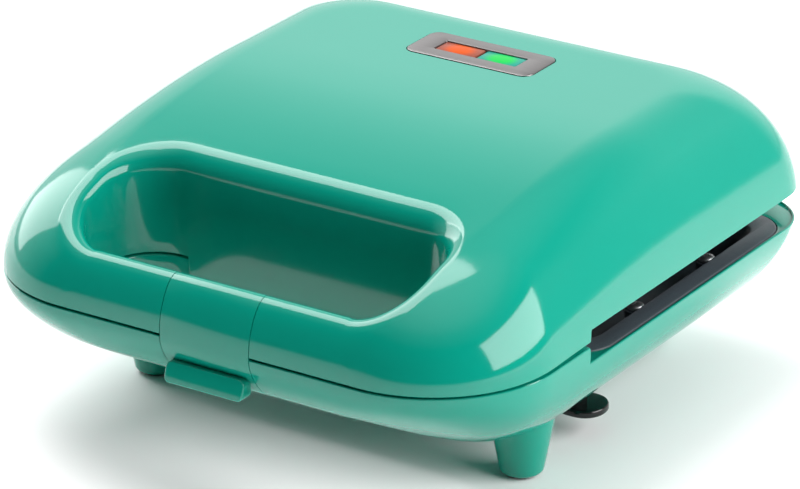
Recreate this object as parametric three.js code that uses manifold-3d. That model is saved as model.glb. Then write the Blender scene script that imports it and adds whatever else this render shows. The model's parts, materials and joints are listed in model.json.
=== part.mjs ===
// Countertop snack maker: a lid hinged at the rear over a base, a through handle at the front with a
// latch clip, and a heated cooking plate in each half. Millimetres, +Z up, +X right, handle at -Y.

import * as THREE from 'three';
import { mergeVertices } from 'three/addons/utils/BufferGeometryUtils.js';
import Module from 'manifold-3d';

const wasm = await Module();
wasm.setup();

// Driving dimensions: outline and heights
const width = 230;
const depth = 244;
const frontCornerRadius = 50;
const rearCornerRadius = 25;
const footHeight = 20;
const baseHeight = 41;
const seamGap = 0.8;
const lidHeight = 51;
const wall = 2.5;
const fitGap = 0.3;
const overrun = 5;

const halfWidth = width / 2;
const frontEdge = -depth / 2;
const rearEdge = depth / 2;
const bottomHeight = footHeight;
const baseSeamHeight = bottomHeight + baseHeight;
const lidSeamHeight = baseSeamHeight + seamGap;
const crownHeight = lidSeamHeight + lidHeight;

// The open slot round the sides and rear, behind the step
const stepSetback = 74.6;
const lidEdgeRise = 5.3;
const deckDrop = 6.7;
const stepPlace = frontEdge + stepSetback;
const lidEdgeHeight = lidSeamHeight + lidEdgeRise;
const deckHeight = baseSeamHeight - deckDrop;

// How the lid's crown falls towards the handle, and how the underside rises towards it
const crownFlatLength = 92;
const crownFallRun = 75;
const crownFallSlopeShare = 0.195;
const riseSetback = 82;
const riseRun = 45;
const baseBarHeight = 13.63;
const riseSlope = (baseHeight - baseBarHeight) / (riseSetback - riseRun / 2);

// Rounding of the sides: how far in from the outline the rounding reaches
const lidSideSpan = 38;
const lidFrontSpan = 30;
const baseSideSpan = 40;
const baseFrontSpan = 15;
const lidInnerFrontCorner = 36;
const lidInnerRearCorner = 24;
const baseInnerFrontCorner = 34;
const baseInnerRearCorner = 24;

// Handle opening: where the lid's wall starts at the top, the throat at the seam, and the underside
const barDepth = 15;
const openingDepth = 51;
const openingSideMargin = 38.5;
const openingCorner = 22;
const throatSideStep = 4.5;
const throatFrontStep = 0.6;
const throatRearStep = 5;
const throatFrontCorner = 15;
const throatRearCorner = 12;
const underSideStep = 2;
const underFrontStep = 1.1;
const underRearStep = 1.5;
const underCorner = 15;
const lidRimRadius = 6;
const lidBarRadius = 14;
const baseRimRadius = 4;
const baseBarRadius = 5;
const openingHalf = halfWidth - openingSideMargin;
const openingFront = frontEdge + barDepth;
const openingRear = openingFront + openingDepth;
const throatHalf = openingHalf - throatSideStep;
const throatFront = openingFront + throatFrontStep;
const throatRear = openingRear - throatRearStep;
const underHalf = throatHalf + underSideStep;
const underFront = throatFront - underFrontStep;
const underRear = throatRear + underRearStep;

// Apron of the lid that hides the seam on the opening's rear wall
const apronSideMargin = 22;
const apronDrop = 10.5;
const apronGap = 0.6;
const apronBacking = 3;
const apronHalf = throatHalf - apronSideMargin;

// Sampling of the rounded shells
const shellSteps = { frontSteps: 2, sideSteps: 5, rearSteps: 7, cornerSteps: 6 };
const outerRows = 8;
const innerRows = 5;
const outerRimRows = 5;
const innerRimRows = 2;
const plainSteps = { frontSteps: 1, sideSteps: 1, rearSteps: 1, cornerSteps: 4 };
const roundedBarShare = 0.9;
const outerCrowding = 2;
const innerCrowding = 2.5;
const bisectionSteps = 24;
const mergeDistance = 1e-4;

// Geometry helpers
function toSolid(geometry) {
  const bare = geometry.clone();
  bare.deleteAttribute('normal');
  bare.deleteAttribute('uv');
  const merged = mergeVertices(bare, mergeDistance);
  const vertProperties = new Float32Array(merged.attributes.position.array);
  const triVerts = new Uint32Array(merged.index.array);
  return new wasm.Manifold(new wasm.Mesh({ numProp: 3, vertProperties, triVerts }));
}

function toGeometry(solid) {
  const mesh = solid.getMesh();
  const geometry = new THREE.BufferGeometry();
  geometry.setAttribute('position', new THREE.BufferAttribute(new Float32Array(mesh.vertProperties), 3));
  geometry.setIndex(new THREE.BufferAttribute(new Uint32Array(mesh.triVerts), 1));
  return geometry;
}

function box(x0, x1, y0, y1, z0, z1) {
  const geometry = new THREE.BoxGeometry(x1 - x0, y1 - y0, z1 - z0);
  geometry.translate((x0 + x1) / 2, (y0 + y1) / 2, (z0 + z1) / 2);
  return toSolid(geometry);
}

function block(x, y, z, sizeX, sizeY, sizeZ) {
  return box(x - sizeX / 2, x + sizeX / 2, y - sizeY / 2, y + sizeY / 2, z, z + sizeZ);
}

function turned(profile, sides, x, y, z) {
  const geometry = new THREE.LatheGeometry(profile.map(([r, h]) => new THREE.Vector2(r, h)), sides);
  geometry.rotateX(Math.PI / 2);
  geometry.translate(x, y, z);
  return toSolid(geometry);
}

const cylinderProfile = (radius, length) => [[0, 0], [radius, 0], [radius, length], [0, length]];

function rod(radius, length, sides, x, y, z) {
  return turned(cylinderProfile(radius, length), sides, x, y, z);
}

function turnedAlongX(profile, sides, x, y, z) {
  const geometry = new THREE.LatheGeometry(profile.map(([r, h]) => new THREE.Vector2(r, h)), sides);
  geometry.rotateZ(-Math.PI / 2);
  geometry.translate(x, y, z);
  return toSolid(geometry);
}

function rodAlongX(radius, length, sides, x, y, z) {
  return turnedAlongX(cylinderProfile(radius, length), sides, x, y, z);
}

function turnedAlongY(profile, sides, x, y, z) {
  const geometry = new THREE.LatheGeometry(profile.map(([r, h]) => new THREE.Vector2(r, h)), sides);
  geometry.translate(x, y, z);
  return toSolid(geometry);
}

function plateOf(points, z0, z1) {
  const shape = new THREE.Shape(points.map((p) => new THREE.Vector2(p.x, p.y)));
  const geometry = new THREE.ExtrudeGeometry(shape, { depth: z1 - z0, bevelEnabled: false });
  geometry.translate(0, 0, z0);
  return toSolid(geometry);
}

// A profile drawn in the Y-Z plane, made as long as x0 to x1
function extrudeAcross(points, x0, x1) {
  const shape = new THREE.Shape(points.map(([y, z]) => new THREE.Vector2(y, z)));
  const geometry = new THREE.ExtrudeGeometry(shape, { depth: x1 - x0, bevelEnabled: false });
  geometry.rotateZ(Math.PI / 2);
  geometry.rotateY(Math.PI / 2);
  geometry.translate(x0, 0, 0);
  return toSolid(geometry);
}

function tubeAlong(curve, radius, sides, steps) {
  const section = new THREE.Shape();
  section.absarc(0, 0, radius, 0, Math.PI * 2);
  const options = { steps, curveSegments: sides / 2, extrudePath: curve, bevelEnabled: false };
  return toSolid(new THREE.ExtrudeGeometry(section, options));
}

// Rounded rectangle seen from above, as evenly indexed points with their outward normals
function roundedOutline({ half, front, rear, frontCorner, rearCorner }, counts = plainSteps) {
  const points = [];
  const addSide = (x0, y0, x1, y1, nx, ny, steps) => {
    for (let i = 0; i < steps; i += 1) {
      const share = i / steps;
      points.push({ x: x0 + (x1 - x0) * share, y: y0 + (y1 - y0) * share, nx, ny });
    }
  };
  const addCorner = (cx, cy, radius, startAngle) => {
    for (let i = 0; i < counts.cornerSteps; i += 1) {
      const angle = startAngle + (Math.PI / 2) * (i / counts.cornerSteps);
      const nx = Math.cos(angle);
      const ny = Math.sin(angle);
      points.push({ x: cx + radius * nx, y: cy + radius * ny, nx, ny });
    }
  };
  addSide(-half + frontCorner, front, half - frontCorner, front, 0, -1, counts.frontSteps);
  addCorner(half - frontCorner, front + frontCorner, frontCorner, -Math.PI / 2);
  addSide(half, front + frontCorner, half, rear - rearCorner, 1, 0, counts.sideSteps);
  addCorner(half - rearCorner, rear - rearCorner, rearCorner, 0);
  addSide(half - rearCorner, rear, -half + rearCorner, rear, 0, 1, counts.rearSteps);
  addCorner(-half + rearCorner, rear - rearCorner, rearCorner, Math.PI / 2);
  addSide(-half, rear - rearCorner, -half, front + frontCorner, -1, 0, counts.sideSteps);
  addCorner(-half + frontCorner, front + frontCorner, frontCorner, Math.PI);
  return points;
}

function isInside(outline, x, y) {
  const { half, front, rear, frontCorner, rearCorner } = outline;
  if (Math.abs(x) > half || y < front || y > rear) return false;
  const overFront = Math.abs(x) - (half - frontCorner);
  if (overFront > 0 && y < front + frontCorner) {
    return Math.hypot(overFront, front + frontCorner - y) <= frontCorner;
  }
  const overRear = Math.abs(x) - (half - rearCorner);
  if (overRear > 0 && y > rear - rearCorner) {
    return Math.hypot(overRear, y - (rear - rearCorner)) <= rearCorner;
  }
  return true;
}

function grown(outline, by) {
  return {
    half: outline.half + by,
    front: outline.front - by,
    rear: outline.rear + by,
    frontCorner: outline.frontCorner + by,
    rearCorner: outline.rearCorner + by,
  };
}

// The two half shells are described by the same kind of record: sign +1 builds up, -1 builds down
const outlinePlan = {
  half: halfWidth,
  front: frontEdge,
  rear: rearEdge,
  frontCorner: frontCornerRadius,
  rearCorner: rearCornerRadius,
};

const lidForm = {
  sign: 1,
  seam: lidSeamHeight,
  outline: outlinePlan,
  sideSpan: lidSideSpan,
  frontSpan: lidFrontSpan,
  innerFrontCorner: lidInnerFrontCorner,
  innerRearCorner: lidInnerRearCorner,
  rimRadius: lidRimRadius,
  barRadius: lidBarRadius,
  opening: {
    half: openingHalf,
    front: openingFront,
    rear: openingRear,
    frontCorner: openingCorner,
    rearCorner: openingCorner,
  },
  height(y) {
    const run = Math.max(0, rearEdge - crownFlatLength - y);
    const fall = run < crownFallRun ? (run * run) / (2 * crownFallRun) : run - crownFallRun / 2;
    return crownHeight - crownFallSlopeShare * fall - lidSeamHeight;
  },
};

const baseForm = {
  sign: -1,
  seam: baseSeamHeight,
  outline: outlinePlan,
  sideSpan: baseSideSpan,
  frontSpan: baseFrontSpan,
  innerFrontCorner: baseInnerFrontCorner,
  innerRearCorner: baseInnerRearCorner,
  rimRadius: baseRimRadius,
  barRadius: baseBarRadius,
  opening: {
    half: underHalf,
    front: underFront,
    rear: underRear,
    frontCorner: underCorner,
    rearCorner: underCorner,
  },
  height(y) {
    const run = Math.max(0, frontEdge + riseSetback - y);
    const rise = run < riseRun ? (run * run) / (2 * riseRun) : run - riseRun / 2;
    return baseSeamHeight - bottomHeight - riseSlope * rise;
  },
};

const throatPlan = {
  half: throatHalf,
  front: throatFront,
  rear: throatRear,
  frontCorner: throatFrontCorner,
  rearCorner: throatRearCorner,
};

// How far a point lies in from the outline, from 0 at the edge to 1 where the rounding ends
function insetShare(form, inset, x, y) {
  const { outline, innerFrontCorner, innerRearCorner } = form;
  const ring = (share) => ({
    half: outline.half - inset - (form.sideSpan - inset) * share,
    front: outline.front + inset + (form.frontSpan - inset) * share,
    rear: outline.rear - inset - (form.sideSpan - inset) * share,
    frontCorner: outline.frontCorner - inset + (innerFrontCorner - outline.frontCorner) * share,
    rearCorner: outline.rearCorner - inset + (innerRearCorner - outline.rearCorner) * share,
  });
  if (isInside(ring(1), x, y)) return 1;
  let low = 0;
  let high = 1;
  for (let i = 0; i < bisectionSteps; i += 1) {
    const middle = (low + high) / 2;
    if (isInside(ring(middle), x, y)) low = middle;
    else high = middle;
  }
  return low;
}

function surfaceHeight(form, inset, x, y) {
  const away = 1 - insetShare(form, inset, x, y);
  return form.seam + form.sign * (form.height(y) - inset) * Math.sqrt(1 - away * away);
}

// Levels of points from the outline, over the surface, round the opening's rim and down to the throat
function shellLevels(form, inset, rows, rimRows, crowding) {
  const starts = roundedOutline(grown(form.outline, -inset), shellSteps);
  const rims = roundedOutline(grown(form.opening, inset), shellSteps);
  const throats = roundedOutline(grown(throatPlan, inset), shellSteps);
  const levels = [];
  for (let row = 0; row <= rows; row += 1) {
    const share = (row / rows) ** crowding;
    levels.push(starts.map((start, i) => {
      const rim = rims[i];
      const radius = rimRadiusAt(form, inset, start, rim);
      const end = new THREE.Vector2(rim.x + rim.nx * radius, rim.y + rim.ny * radius);
      const begin = new THREE.Vector2(start.x, start.y);
      const place = begin.lerp(end, share);
      const z = row === 0 ? form.seam : surfaceHeight(form, inset, place.x, place.y);
      return new THREE.Vector3(place.x, place.y, z);
    }));
  }
  for (let row = 1; row <= rimRows; row += 1) {
    const angle = (Math.PI / 2) * (row / rimRows);
    levels.push(rims.map((rim, i) => {
      const radius = rimRadiusAt(form, inset, starts[i], rim);
      const away = radius * (1 - Math.sin(angle));
      const x = rim.x + rim.nx * away;
      const y = rim.y + rim.ny * away;
      const z = surfaceHeight(form, inset, x, y) - form.sign * radius * (1 - Math.cos(angle));
      return new THREE.Vector3(x, y, z);
    }));
  }
  levels.push(throats.map((p) => new THREE.Vector3(p.x, p.y, form.seam)));
  return levels;
}

// The rim is rounder along the handle bar than round the rest of the opening, within the bar's own width
function rimRadiusAt(form, inset, start, rim) {
  const frontShare = Math.max(0, -rim.ny) ** 2;
  const radius = form.rimRadius + (form.barRadius - form.rimRadius) * frontShare - inset / 2;
  const room = (start.x - rim.x) * rim.nx + (start.y - rim.y) * rim.ny;
  return Math.min(radius, room * roundedBarShare);
}

// Closed ring of levels, where the last level joins the first
function ringSolid(levels) {
  const count = levels[0].length;
  const positions = levels.flat().flatMap((p) => [p.x, p.y, p.z]);
  const index = [];
  for (let row = 0; row < levels.length; row += 1) {
    const next = (row + 1) % levels.length;
    for (let i = 0; i < count; i += 1) {
      const a = row * count + i;
      const b = row * count + ((i + 1) % count);
      const c = next * count + ((i + 1) % count);
      const d = next * count + i;
      index.push(a, b, c, a, c, d);
    }
  }
  return orientedSolid(positions, index);
}

// Solid between outlines stacked in height, closed at both ends
function stackedSolid(outlines, heights) {
  const count = outlines[0].length;
  const positions = outlines.flatMap((points, k) => points.flatMap((p) => [p.x, p.y, heights[k]]));
  const index = [];
  for (let row = 0; row + 1 < outlines.length; row += 1) {
    for (let i = 0; i < count; i += 1) {
      const a = row * count + i;
      const b = row * count + ((i + 1) % count);
      index.push(a, b, b + count, a, b + count, a + count);
    }
  }
  const last = (outlines.length - 1) * count;
  for (let i = 1; i + 1 < count; i += 1) {
    index.push(0, i + 1, i, last, last + i, last + i + 1);
  }
  return orientedSolid(positions, index);
}

function orientedSolid(positions, index) {
  let volume = 0;
  const corner = (k) => new THREE.Vector3().fromArray(positions, 3 * index[k]);
  for (let k = 0; k < index.length; k += 3) {
    volume += corner(k).dot(corner(k + 1).cross(corner(k + 2)));
  }
  const faces = volume > 0 ? index : index.map((_, k) => index[3 * Math.floor(k / 3) + (2 - (k % 3))]);
  const geometry = new THREE.BufferGeometry();
  geometry.setAttribute('position', new THREE.Float32BufferAttribute(positions, 3));
  geometry.setIndex(faces);
  return toSolid(geometry);
}

function fullForm(form) {
  return ringSolid(shellLevels(form, 0, outerRows, outerRimRows, outerCrowding));
}

function hollowForm(form) {
  const levels = shellLevels(form, wall, innerRows, innerRimRows, innerCrowding);
  const drop = (level) => level.map((p) => new THREE.Vector3(p.x, p.y, form.seam - form.sign * overrun));
  return ringSolid([drop(levels[0]), ...levels, drop(levels[levels.length - 1])]);
}

// Materials
const gloss = { roughness: 0.18, metalness: 0 };
const turquoise = new THREE.MeshStandardMaterial({ color: 0x1fb99c, ...gloss });
const darkCoating = new THREE.MeshStandardMaterial({ color: 0x2b3136, roughness: 0.42, metalness: 0.2 });
const blackPlastic = new THREE.MeshStandardMaterial({ color: 0x0c0e0f, roughness: 0.25, metalness: 0 });
const rubber = new THREE.MeshStandardMaterial({ color: 0x1a1c1d, roughness: 0.85, metalness: 0 });
const steel = new THREE.MeshStandardMaterial({ color: 0xb8bbbd, roughness: 0.3, metalness: 1 });
const sheetMetal = new THREE.MeshStandardMaterial({ color: 0xa9acad, roughness: 0.45, metalness: 1 });
const elementSteel = new THREE.MeshStandardMaterial({ color: 0x5d5f60, roughness: 0.55, metalness: 0.9 });
const amberLens = new THREE.MeshStandardMaterial({ color: 0xe8551e, roughness: 0.2, metalness: 0 });
const greenLens = new THREE.MeshStandardMaterial({ color: 0x22c56a, roughness: 0.2, metalness: 0 });
const ceramic = new THREE.MeshStandardMaterial({ color: 0xe9e4d8, roughness: 0.6, metalness: 0 });
const sleeveWhite = new THREE.MeshStandardMaterial({ color: 0xd8d6cf, roughness: 0.7, metalness: 0 });

const assembly = new THREE.Group();
const lidGroup = new THREE.Group();
const baseGroup = new THREE.Group();
const latchGroup = new THREE.Group();
assembly.add(baseGroup, lidGroup, latchGroup);

function addPiece(group, name, solid, material) {
  const mesh = new THREE.Mesh(toGeometry(solid), material);
  mesh.name = name;
  group.add(mesh);
}

const mirrorX = (solid) => solid.mirror([1, 0, 0]);

// Latch sizes, used by the pockets in both shells as well as by the clip
const latchWidth = 38.4;
const latchSkin = 3;
const latchCheek = 3;
const latchPinRadius = 2;
const latchPinSetback = 10.7;
const latchPinRiseShare = 0.56903;
const latchBarrelRadius = 4;
const latchCoreClearance = 0.4;
const latchDepth = 11.3;
const latchPinPlaceY = frontEdge + latchPinSetback;
const barSurface = surfaceHeight(lidForm, 0, 0, latchPinPlaceY) - lidSeamHeight;
const latchPinPlaceZ = lidSeamHeight + barSurface * latchPinRiseShare;
const latchBackFace = frontEdge + latchDepth;
const latchCoreTop = latchPinPlaceZ - latchBarrelRadius - latchCoreClearance;
const pocketHalf = latchWidth / 2 + fitGap;
const cheekHalf = pocketHalf + latchCheek;
const barBack = openingFront + wall;

function latchCheeks(full, form) {
  const low = form.seam - crownHeight;
  const high = form.seam + crownHeight;
  return full.intersect(box(-cheekHalf, cheekHalf, frontEdge - overrun, barBack, low, high));
}

// Hinge sizes, used by both frames and by the pins
const hingeSetback = 3.5;
const hingeSideMargin = 56;
const hingeY = rearEdge - hingeSetback;
const hingeZ = (deckHeight + lidEdgeHeight) / 2;
const hingeCentre = halfWidth - hingeSideMargin;
const knuckleRadius = 4.5;
const knuckleWeb = 2;
const knuckleEmbed = 0.6;
const hingePinRadius = 2;
const lidKnuckleLength = 14;
const baseKnuckleLength = 6;
const pinHeadRadius = 3.2;
const pinHeadLength = 1.6;
const pinSides = 12;
const pinClearance = 0.35;

// Cooking plate sizes
const plateStepGap = 5.4;
const plateRearSetback = 18;
const plateHalf = halfWidth - wall - fitGap;
const plateFront = stepPlace + plateStepGap;
const plateRear = rearEdge - plateRearSetback;
const plateCorner = 15;
const plateRimThick = 2.5;
const lowerRimTop = deckHeight - fitGap;
const rimSideWidth = 8.2;
const rimEndWidth = 11;
const recessCorner = 9;
const recessDraft = 5;
const plateFloor = 2.5;
const dividerWidth = 9;
const ridgeDrop = 4.5;
const ridgeBase = 9;
const ridgeCrest = 1.6;
const upperPlateInset = 2.2;
const upperRimThick = 3;
const upperRimBottom = lidEdgeHeight - upperRimThick;
const plateScrewInset = 12.2;
const plateScrewFrontInset = 51;
const plateScrewRearInset = 43;
const plateScrewX = plateHalf - plateScrewInset;
const plateScrewPlaces = [plateFront + plateScrewFrontInset, plateRear - plateScrewRearInset];
const plateScrewPad = 4.1;
const plateScrewPadDrop = 3.2;

// Element, pan and frame sizes
const elementRadius = 3.2;
const elementSides = 8;
const panSideInset = 21.2;
const panFrontInset = 15;
const panRearInset = 17;
const panHalf = plateHalf - panSideInset;
const panFront = plateFront + panFrontInset;
const panRear = plateRear - panRearInset;
const panCorner = 12;
const panSheet = 1.2;
const panSlotHalf = 26;
const frameThick = 2.2;
const frameLedgeDrop = 5.3;
const frameEdge = wall + fitGap;
const frameBarSetback = 5;

// The pockets are as deep as each shell leaves room for, behind their element and pan
const panFloorGap = 6.8;
const lidPanHeadroom = 24;
const heatingLayer = plateFloor + fitGap + 2 * elementRadius + fitGap + panSheet;
const lowerRecessDepth = lowerRimTop - bottomHeight - heatingLayer - panFloorGap - wall;
const upperRecessDepth = crownHeight - upperRimBottom - heatingLayer - lidPanHeadroom;

const lidFull = fullForm(lidForm);
const baseFull = fullForm(baseForm);

// Screws: one turned profile, placed head up or head down
const screwShankRadius = 1.7;
const screwHeadRadius = 3.2;
const screwHeadHeight = 2;
const screwSides = 8;

function screw(x, y, seat, direction, length) {
  const profile = [
    [0, -length],
    [screwShankRadius, -length],
    [screwShankRadius, 0],
    [screwHeadRadius, 0],
    [screwHeadRadius, screwHeadHeight / 2],
    [screwHeadRadius / 2, screwHeadHeight],
    [0, screwHeadHeight],
  ];
  const solid = turned(profile, screwSides, 0, 0, 0);
  const facing = direction > 0 ? solid : solid.rotate([180, 0, 0]);
  return facing.translate([x, y, seat + direction * fitGap]);
}

function screwHole(x, y, z0, z1) {
  return rod(screwShankRadius + fitGap, z1 - z0, screwSides, x, y, z0);
}

// Cooking plate, made facing up with its rim top at zero and turned over for the lid
function cookingPlate(inset, rimThick, recessDepth) {
  const rimPlan = {
    half: plateHalf - inset,
    front: plateFront + inset,
    rear: plateRear - inset,
    frontCorner: plateCorner - inset,
    rearCorner: plateCorner - inset,
  };
  const recessPlan = {
    half: plateHalf - rimSideWidth,
    front: plateFront + rimEndWidth,
    rear: plateRear - rimEndWidth,
    frontCorner: recessCorner,
    rearCorner: recessCorner,
  };
  const skin = plateFloor - inset / 2;
  const bodyTop = grown(recessPlan, skin);
  const floorPlan = {
    ...grown(recessPlan, -recessDraft),
    frontCorner: recessCorner,
    rearCorner: recessCorner - recessDraft,
  };
  const bodyFoot = grown(floorPlan, skin);
  const rim = plateOf(roundedOutline(rimPlan), -rimThick, 0);
  const bodyHeights = [-recessDepth - plateFloor, -rimThick / 2];
  const body = stackedSolid([roundedOutline(bodyFoot), roundedOutline(bodyTop)], bodyHeights);
  let plate = rim.add(body);
  const cutter = stackedSolid(
    [roundedOutline(floorPlan), roundedOutline(recessPlan), roundedOutline(recessPlan)],
    [-recessDepth, 0, overrun],
  );
  const divider = extrudeAlongY([
    [-dividerWidth / 2, -recessDepth - plateFloor / 2],
    [dividerWidth / 2, -recessDepth - plateFloor / 2],
    [dividerWidth / 4, 0],
    [-dividerWidth / 4, 0],
  ], recessPlan.front - skin / 2, recessPlan.rear + skin / 2);
  let hollow = cutter.subtract(divider);
  for (const side of [-1, 1]) {
    hollow = hollow.subtract(diagonalRidge(floorPlan, side, recessDepth));
    for (const y of plateScrewPlaces) {
      const padFoot = -recessDepth - plateScrewPadDrop;
      hollow = hollow.subtract(rod(plateScrewPad, recessDepth, screwSides, side * plateScrewX, y, padFoot));
    }
  }
  plate = plate.subtract(hollow);
  for (const side of [-1, 1]) {
    for (const y of plateScrewPlaces) {
      const x = side * plateScrewX;
      const postLow = -recessDepth - plateFloor;
      const post = rod(plateScrewPad, -plateScrewPadDrop - postLow, screwSides, x, y, postLow);
      const hole = screwHole(x, y, postLow - overrun, overrun);
      const seat = rod(screwHeadRadius + fitGap, recessDepth, screwSides, x, y, -plateScrewPadDrop);
      plate = plate.add(post).subtract(hole).subtract(seat);
    }
  }
  return plate;
}

function extrudeAlongY(points, y0, y1) {
  const shape = new THREE.Shape(points.map(([x, z]) => new THREE.Vector2(x, z)));
  const geometry = new THREE.ExtrudeGeometry(shape, { depth: y1 - y0, bevelEnabled: false });
  geometry.rotateX(Math.PI / 2);
  geometry.translate(0, y1, 0);
  return toSolid(geometry);
}

// A ridge that crosses one pocket from corner to corner and cuts a sandwich into two triangles
function diagonalRidge(floorPlan, side, recessDepth) {
  const inner = dividerWidth / 2;
  const outer = floorPlan.half;
  const runX = outer - inner;
  const runY = floorPlan.rear - floorPlan.front;
  const length = Math.hypot(runX, runY);
  const low = -recessDepth - plateFloor / 2;
  const high = -ridgeDrop;
  const bar = extrudeAlongY([
    [-ridgeBase / 2, low],
    [ridgeBase / 2, low],
    [ridgeCrest / 2, high],
    [-ridgeCrest / 2, high],
  ], -length / 2, length / 2);
  const turn = (Math.atan2(runX, runY) * 180) / Math.PI;
  const place = [side * (inner + outer) / 2, (floorPlan.front + floorPlan.rear) / 2, 0];
  return bar.rotate([0, 0, side * turn]).translate(place);
}

// Lower cooking plate
const lowerPlate = cookingPlate(0, plateRimThick, lowerRecessDepth).translate([0, 0, lowerRimTop]);
addPiece(baseGroup, 'lower_cooking_plate', lowerPlate, darkCoating);
const lowerPlateFoot = lowerRimTop - lowerRecessDepth - plateFloor;

// Upper cooking plate, the same casting turned over
const upperPlate = cookingPlate(upperPlateInset, upperRimThick, upperRecessDepth).mirror([0, 0, 1]);
addPiece(lidGroup, 'upper_cooking_plate', upperPlate.translate([0, 0, upperRimBottom]), darkCoating);
const upperPlateBack = upperRimBottom + upperRecessDepth + plateFloor;

// Plate fixing screws: bright heads at the edge of the recesses
const plateScrewReach = 3.7;
const underSeat = plateFloor - plateScrewPadDrop + plateScrewReach;
const lowerPlateScrewLength = lowerRecessDepth + underSeat;
const upperPlateScrewLength = upperRecessDepth + underSeat;
let plateScrewCount = 0;
for (const side of [-1, 1]) {
  for (const y of plateScrewPlaces) {
    plateScrewCount += 1;
    const lowSeat = lowerRimTop - plateScrewPadDrop;
    const highSeat = upperRimBottom + plateScrewPadDrop;
    const lower = screw(side * plateScrewX, y, lowSeat, 1, lowerPlateScrewLength);
    const upper = screw(side * plateScrewX, y, highSeat, -1, upperPlateScrewLength);
    addPiece(baseGroup, `lower_plate_screw_${plateScrewCount}`, lower, steel);
    addPiece(lidGroup, `upper_plate_screw_${plateScrewCount}`, upper, steel);
  }
}

// Shell features that both halves share
const lidLow = lidForm.seam - overrun;
const baseHigh = baseForm.seam + overrun;
const sideCut = (z0, z1) => box(-width, width, stepPlace, depth, z0, z1);
const latchPocket = (z0, z1) => box(-pocketHalf, pocketHalf, frontEdge - overrun, latchBackFace, z0, z1);
const roomInset = wall + 2 * fitGap;

// Space inside a shell that its inner pieces stay in
function roomForm(form) {
  const levels = shellLevels(form, roomInset, innerRows, innerRimRows, innerCrowding);
  const drop = (level) => level.map((p) => new THREE.Vector3(p.x, p.y, form.seam - form.sign * overrun));
  return ringSolid([drop(levels[0]), ...levels, drop(levels[levels.length - 1])]);
}

// Heights of element and pan, worked out from the plates
const lowerElementHeight = lowerPlateFoot - fitGap - elementRadius;
const lowerPanTop = lowerElementHeight - elementRadius - fitGap;
const upperElementHeight = upperPlateBack + fitGap + elementRadius;
const upperPanBottom = upperElementHeight + elementRadius + fitGap;
const bossRadius = 4.5;
const bossSides = 12;
const bossSideInset = 31;
const bossFrontInset = 29;
const bossRearInset = 27;
const bossX = panHalf - bossSideInset;
const bossPlaces = [panFront + bossFrontInset, panRear - bossRearInset];
const panScrewLength = 8;
const postRadius = 4;
const lidPostHeadroom = 13.5;

// Feet, hooks, gland and lamp sizes
const frontFootSideInset = 33;
const frontFootSetback = 81.5;
const rearFootSideInset = 53;
const rearFootSetback = 40;
const frontFootX = halfWidth - frontFootSideInset;
const frontFootY = frontEdge + frontFootSetback;
const rearFootX = halfWidth - rearFootSideInset;
const rearFootY = rearEdge - rearFootSetback;
const footPegRadius = 3.5;
const footPlaces = [
  ['front_left', -frontFootX, frontFootY],
  ['front_right', frontFootX, frontFootY],
  ['rear_left', -rearFootX, rearFootY],
  ['rear_right', rearFootX, rearFootY],
];
const hookSideInset = 37;
const hookX = halfWidth - hookSideInset;
const hookY = 2;
const hookPegRadius = 3;
const glandDrop = 13.3;
const glandSetback = 7;
const glandHeight = deckHeight - glandDrop;
const glandSeat = rearEdge - glandSetback;
const glandBarrel = 5;
const glandFlange = 8;
const glandPadHalf = 12;
const glandPadDepth = 5;
const bezelSetback = 61;
const bezelY = rearEdge - bezelSetback;
const bezelHalfX = 28;
const bezelHalfY = 11.7;
const bezelCorner = 3;
const bezelThick = 1.2;
const bezelProud = 0.4;
const windowHalfX = 18;
const windowHalfY = 4.5;
const lampPillarX = 27;
const lampPillarRadius = 3;
const pillarHoleShare = 0.85;
const lampHolderDrop = 7.1;
const lampHolderTop = crownHeight - lampHolderDrop;

// Terminal block place, behind the ends of the lower element
const blockHalfX = 20;
const blockThick = 5.9;
const blockHeight = 8.6;
const blockRearInset = 0.5;
const blockRear = plateRear - blockRearInset;
const blockFront = blockRear - blockThick;
const blockFoot = lowerElementHeight - elementRadius / 2;
const blockTop = blockFoot + blockHeight;

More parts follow.
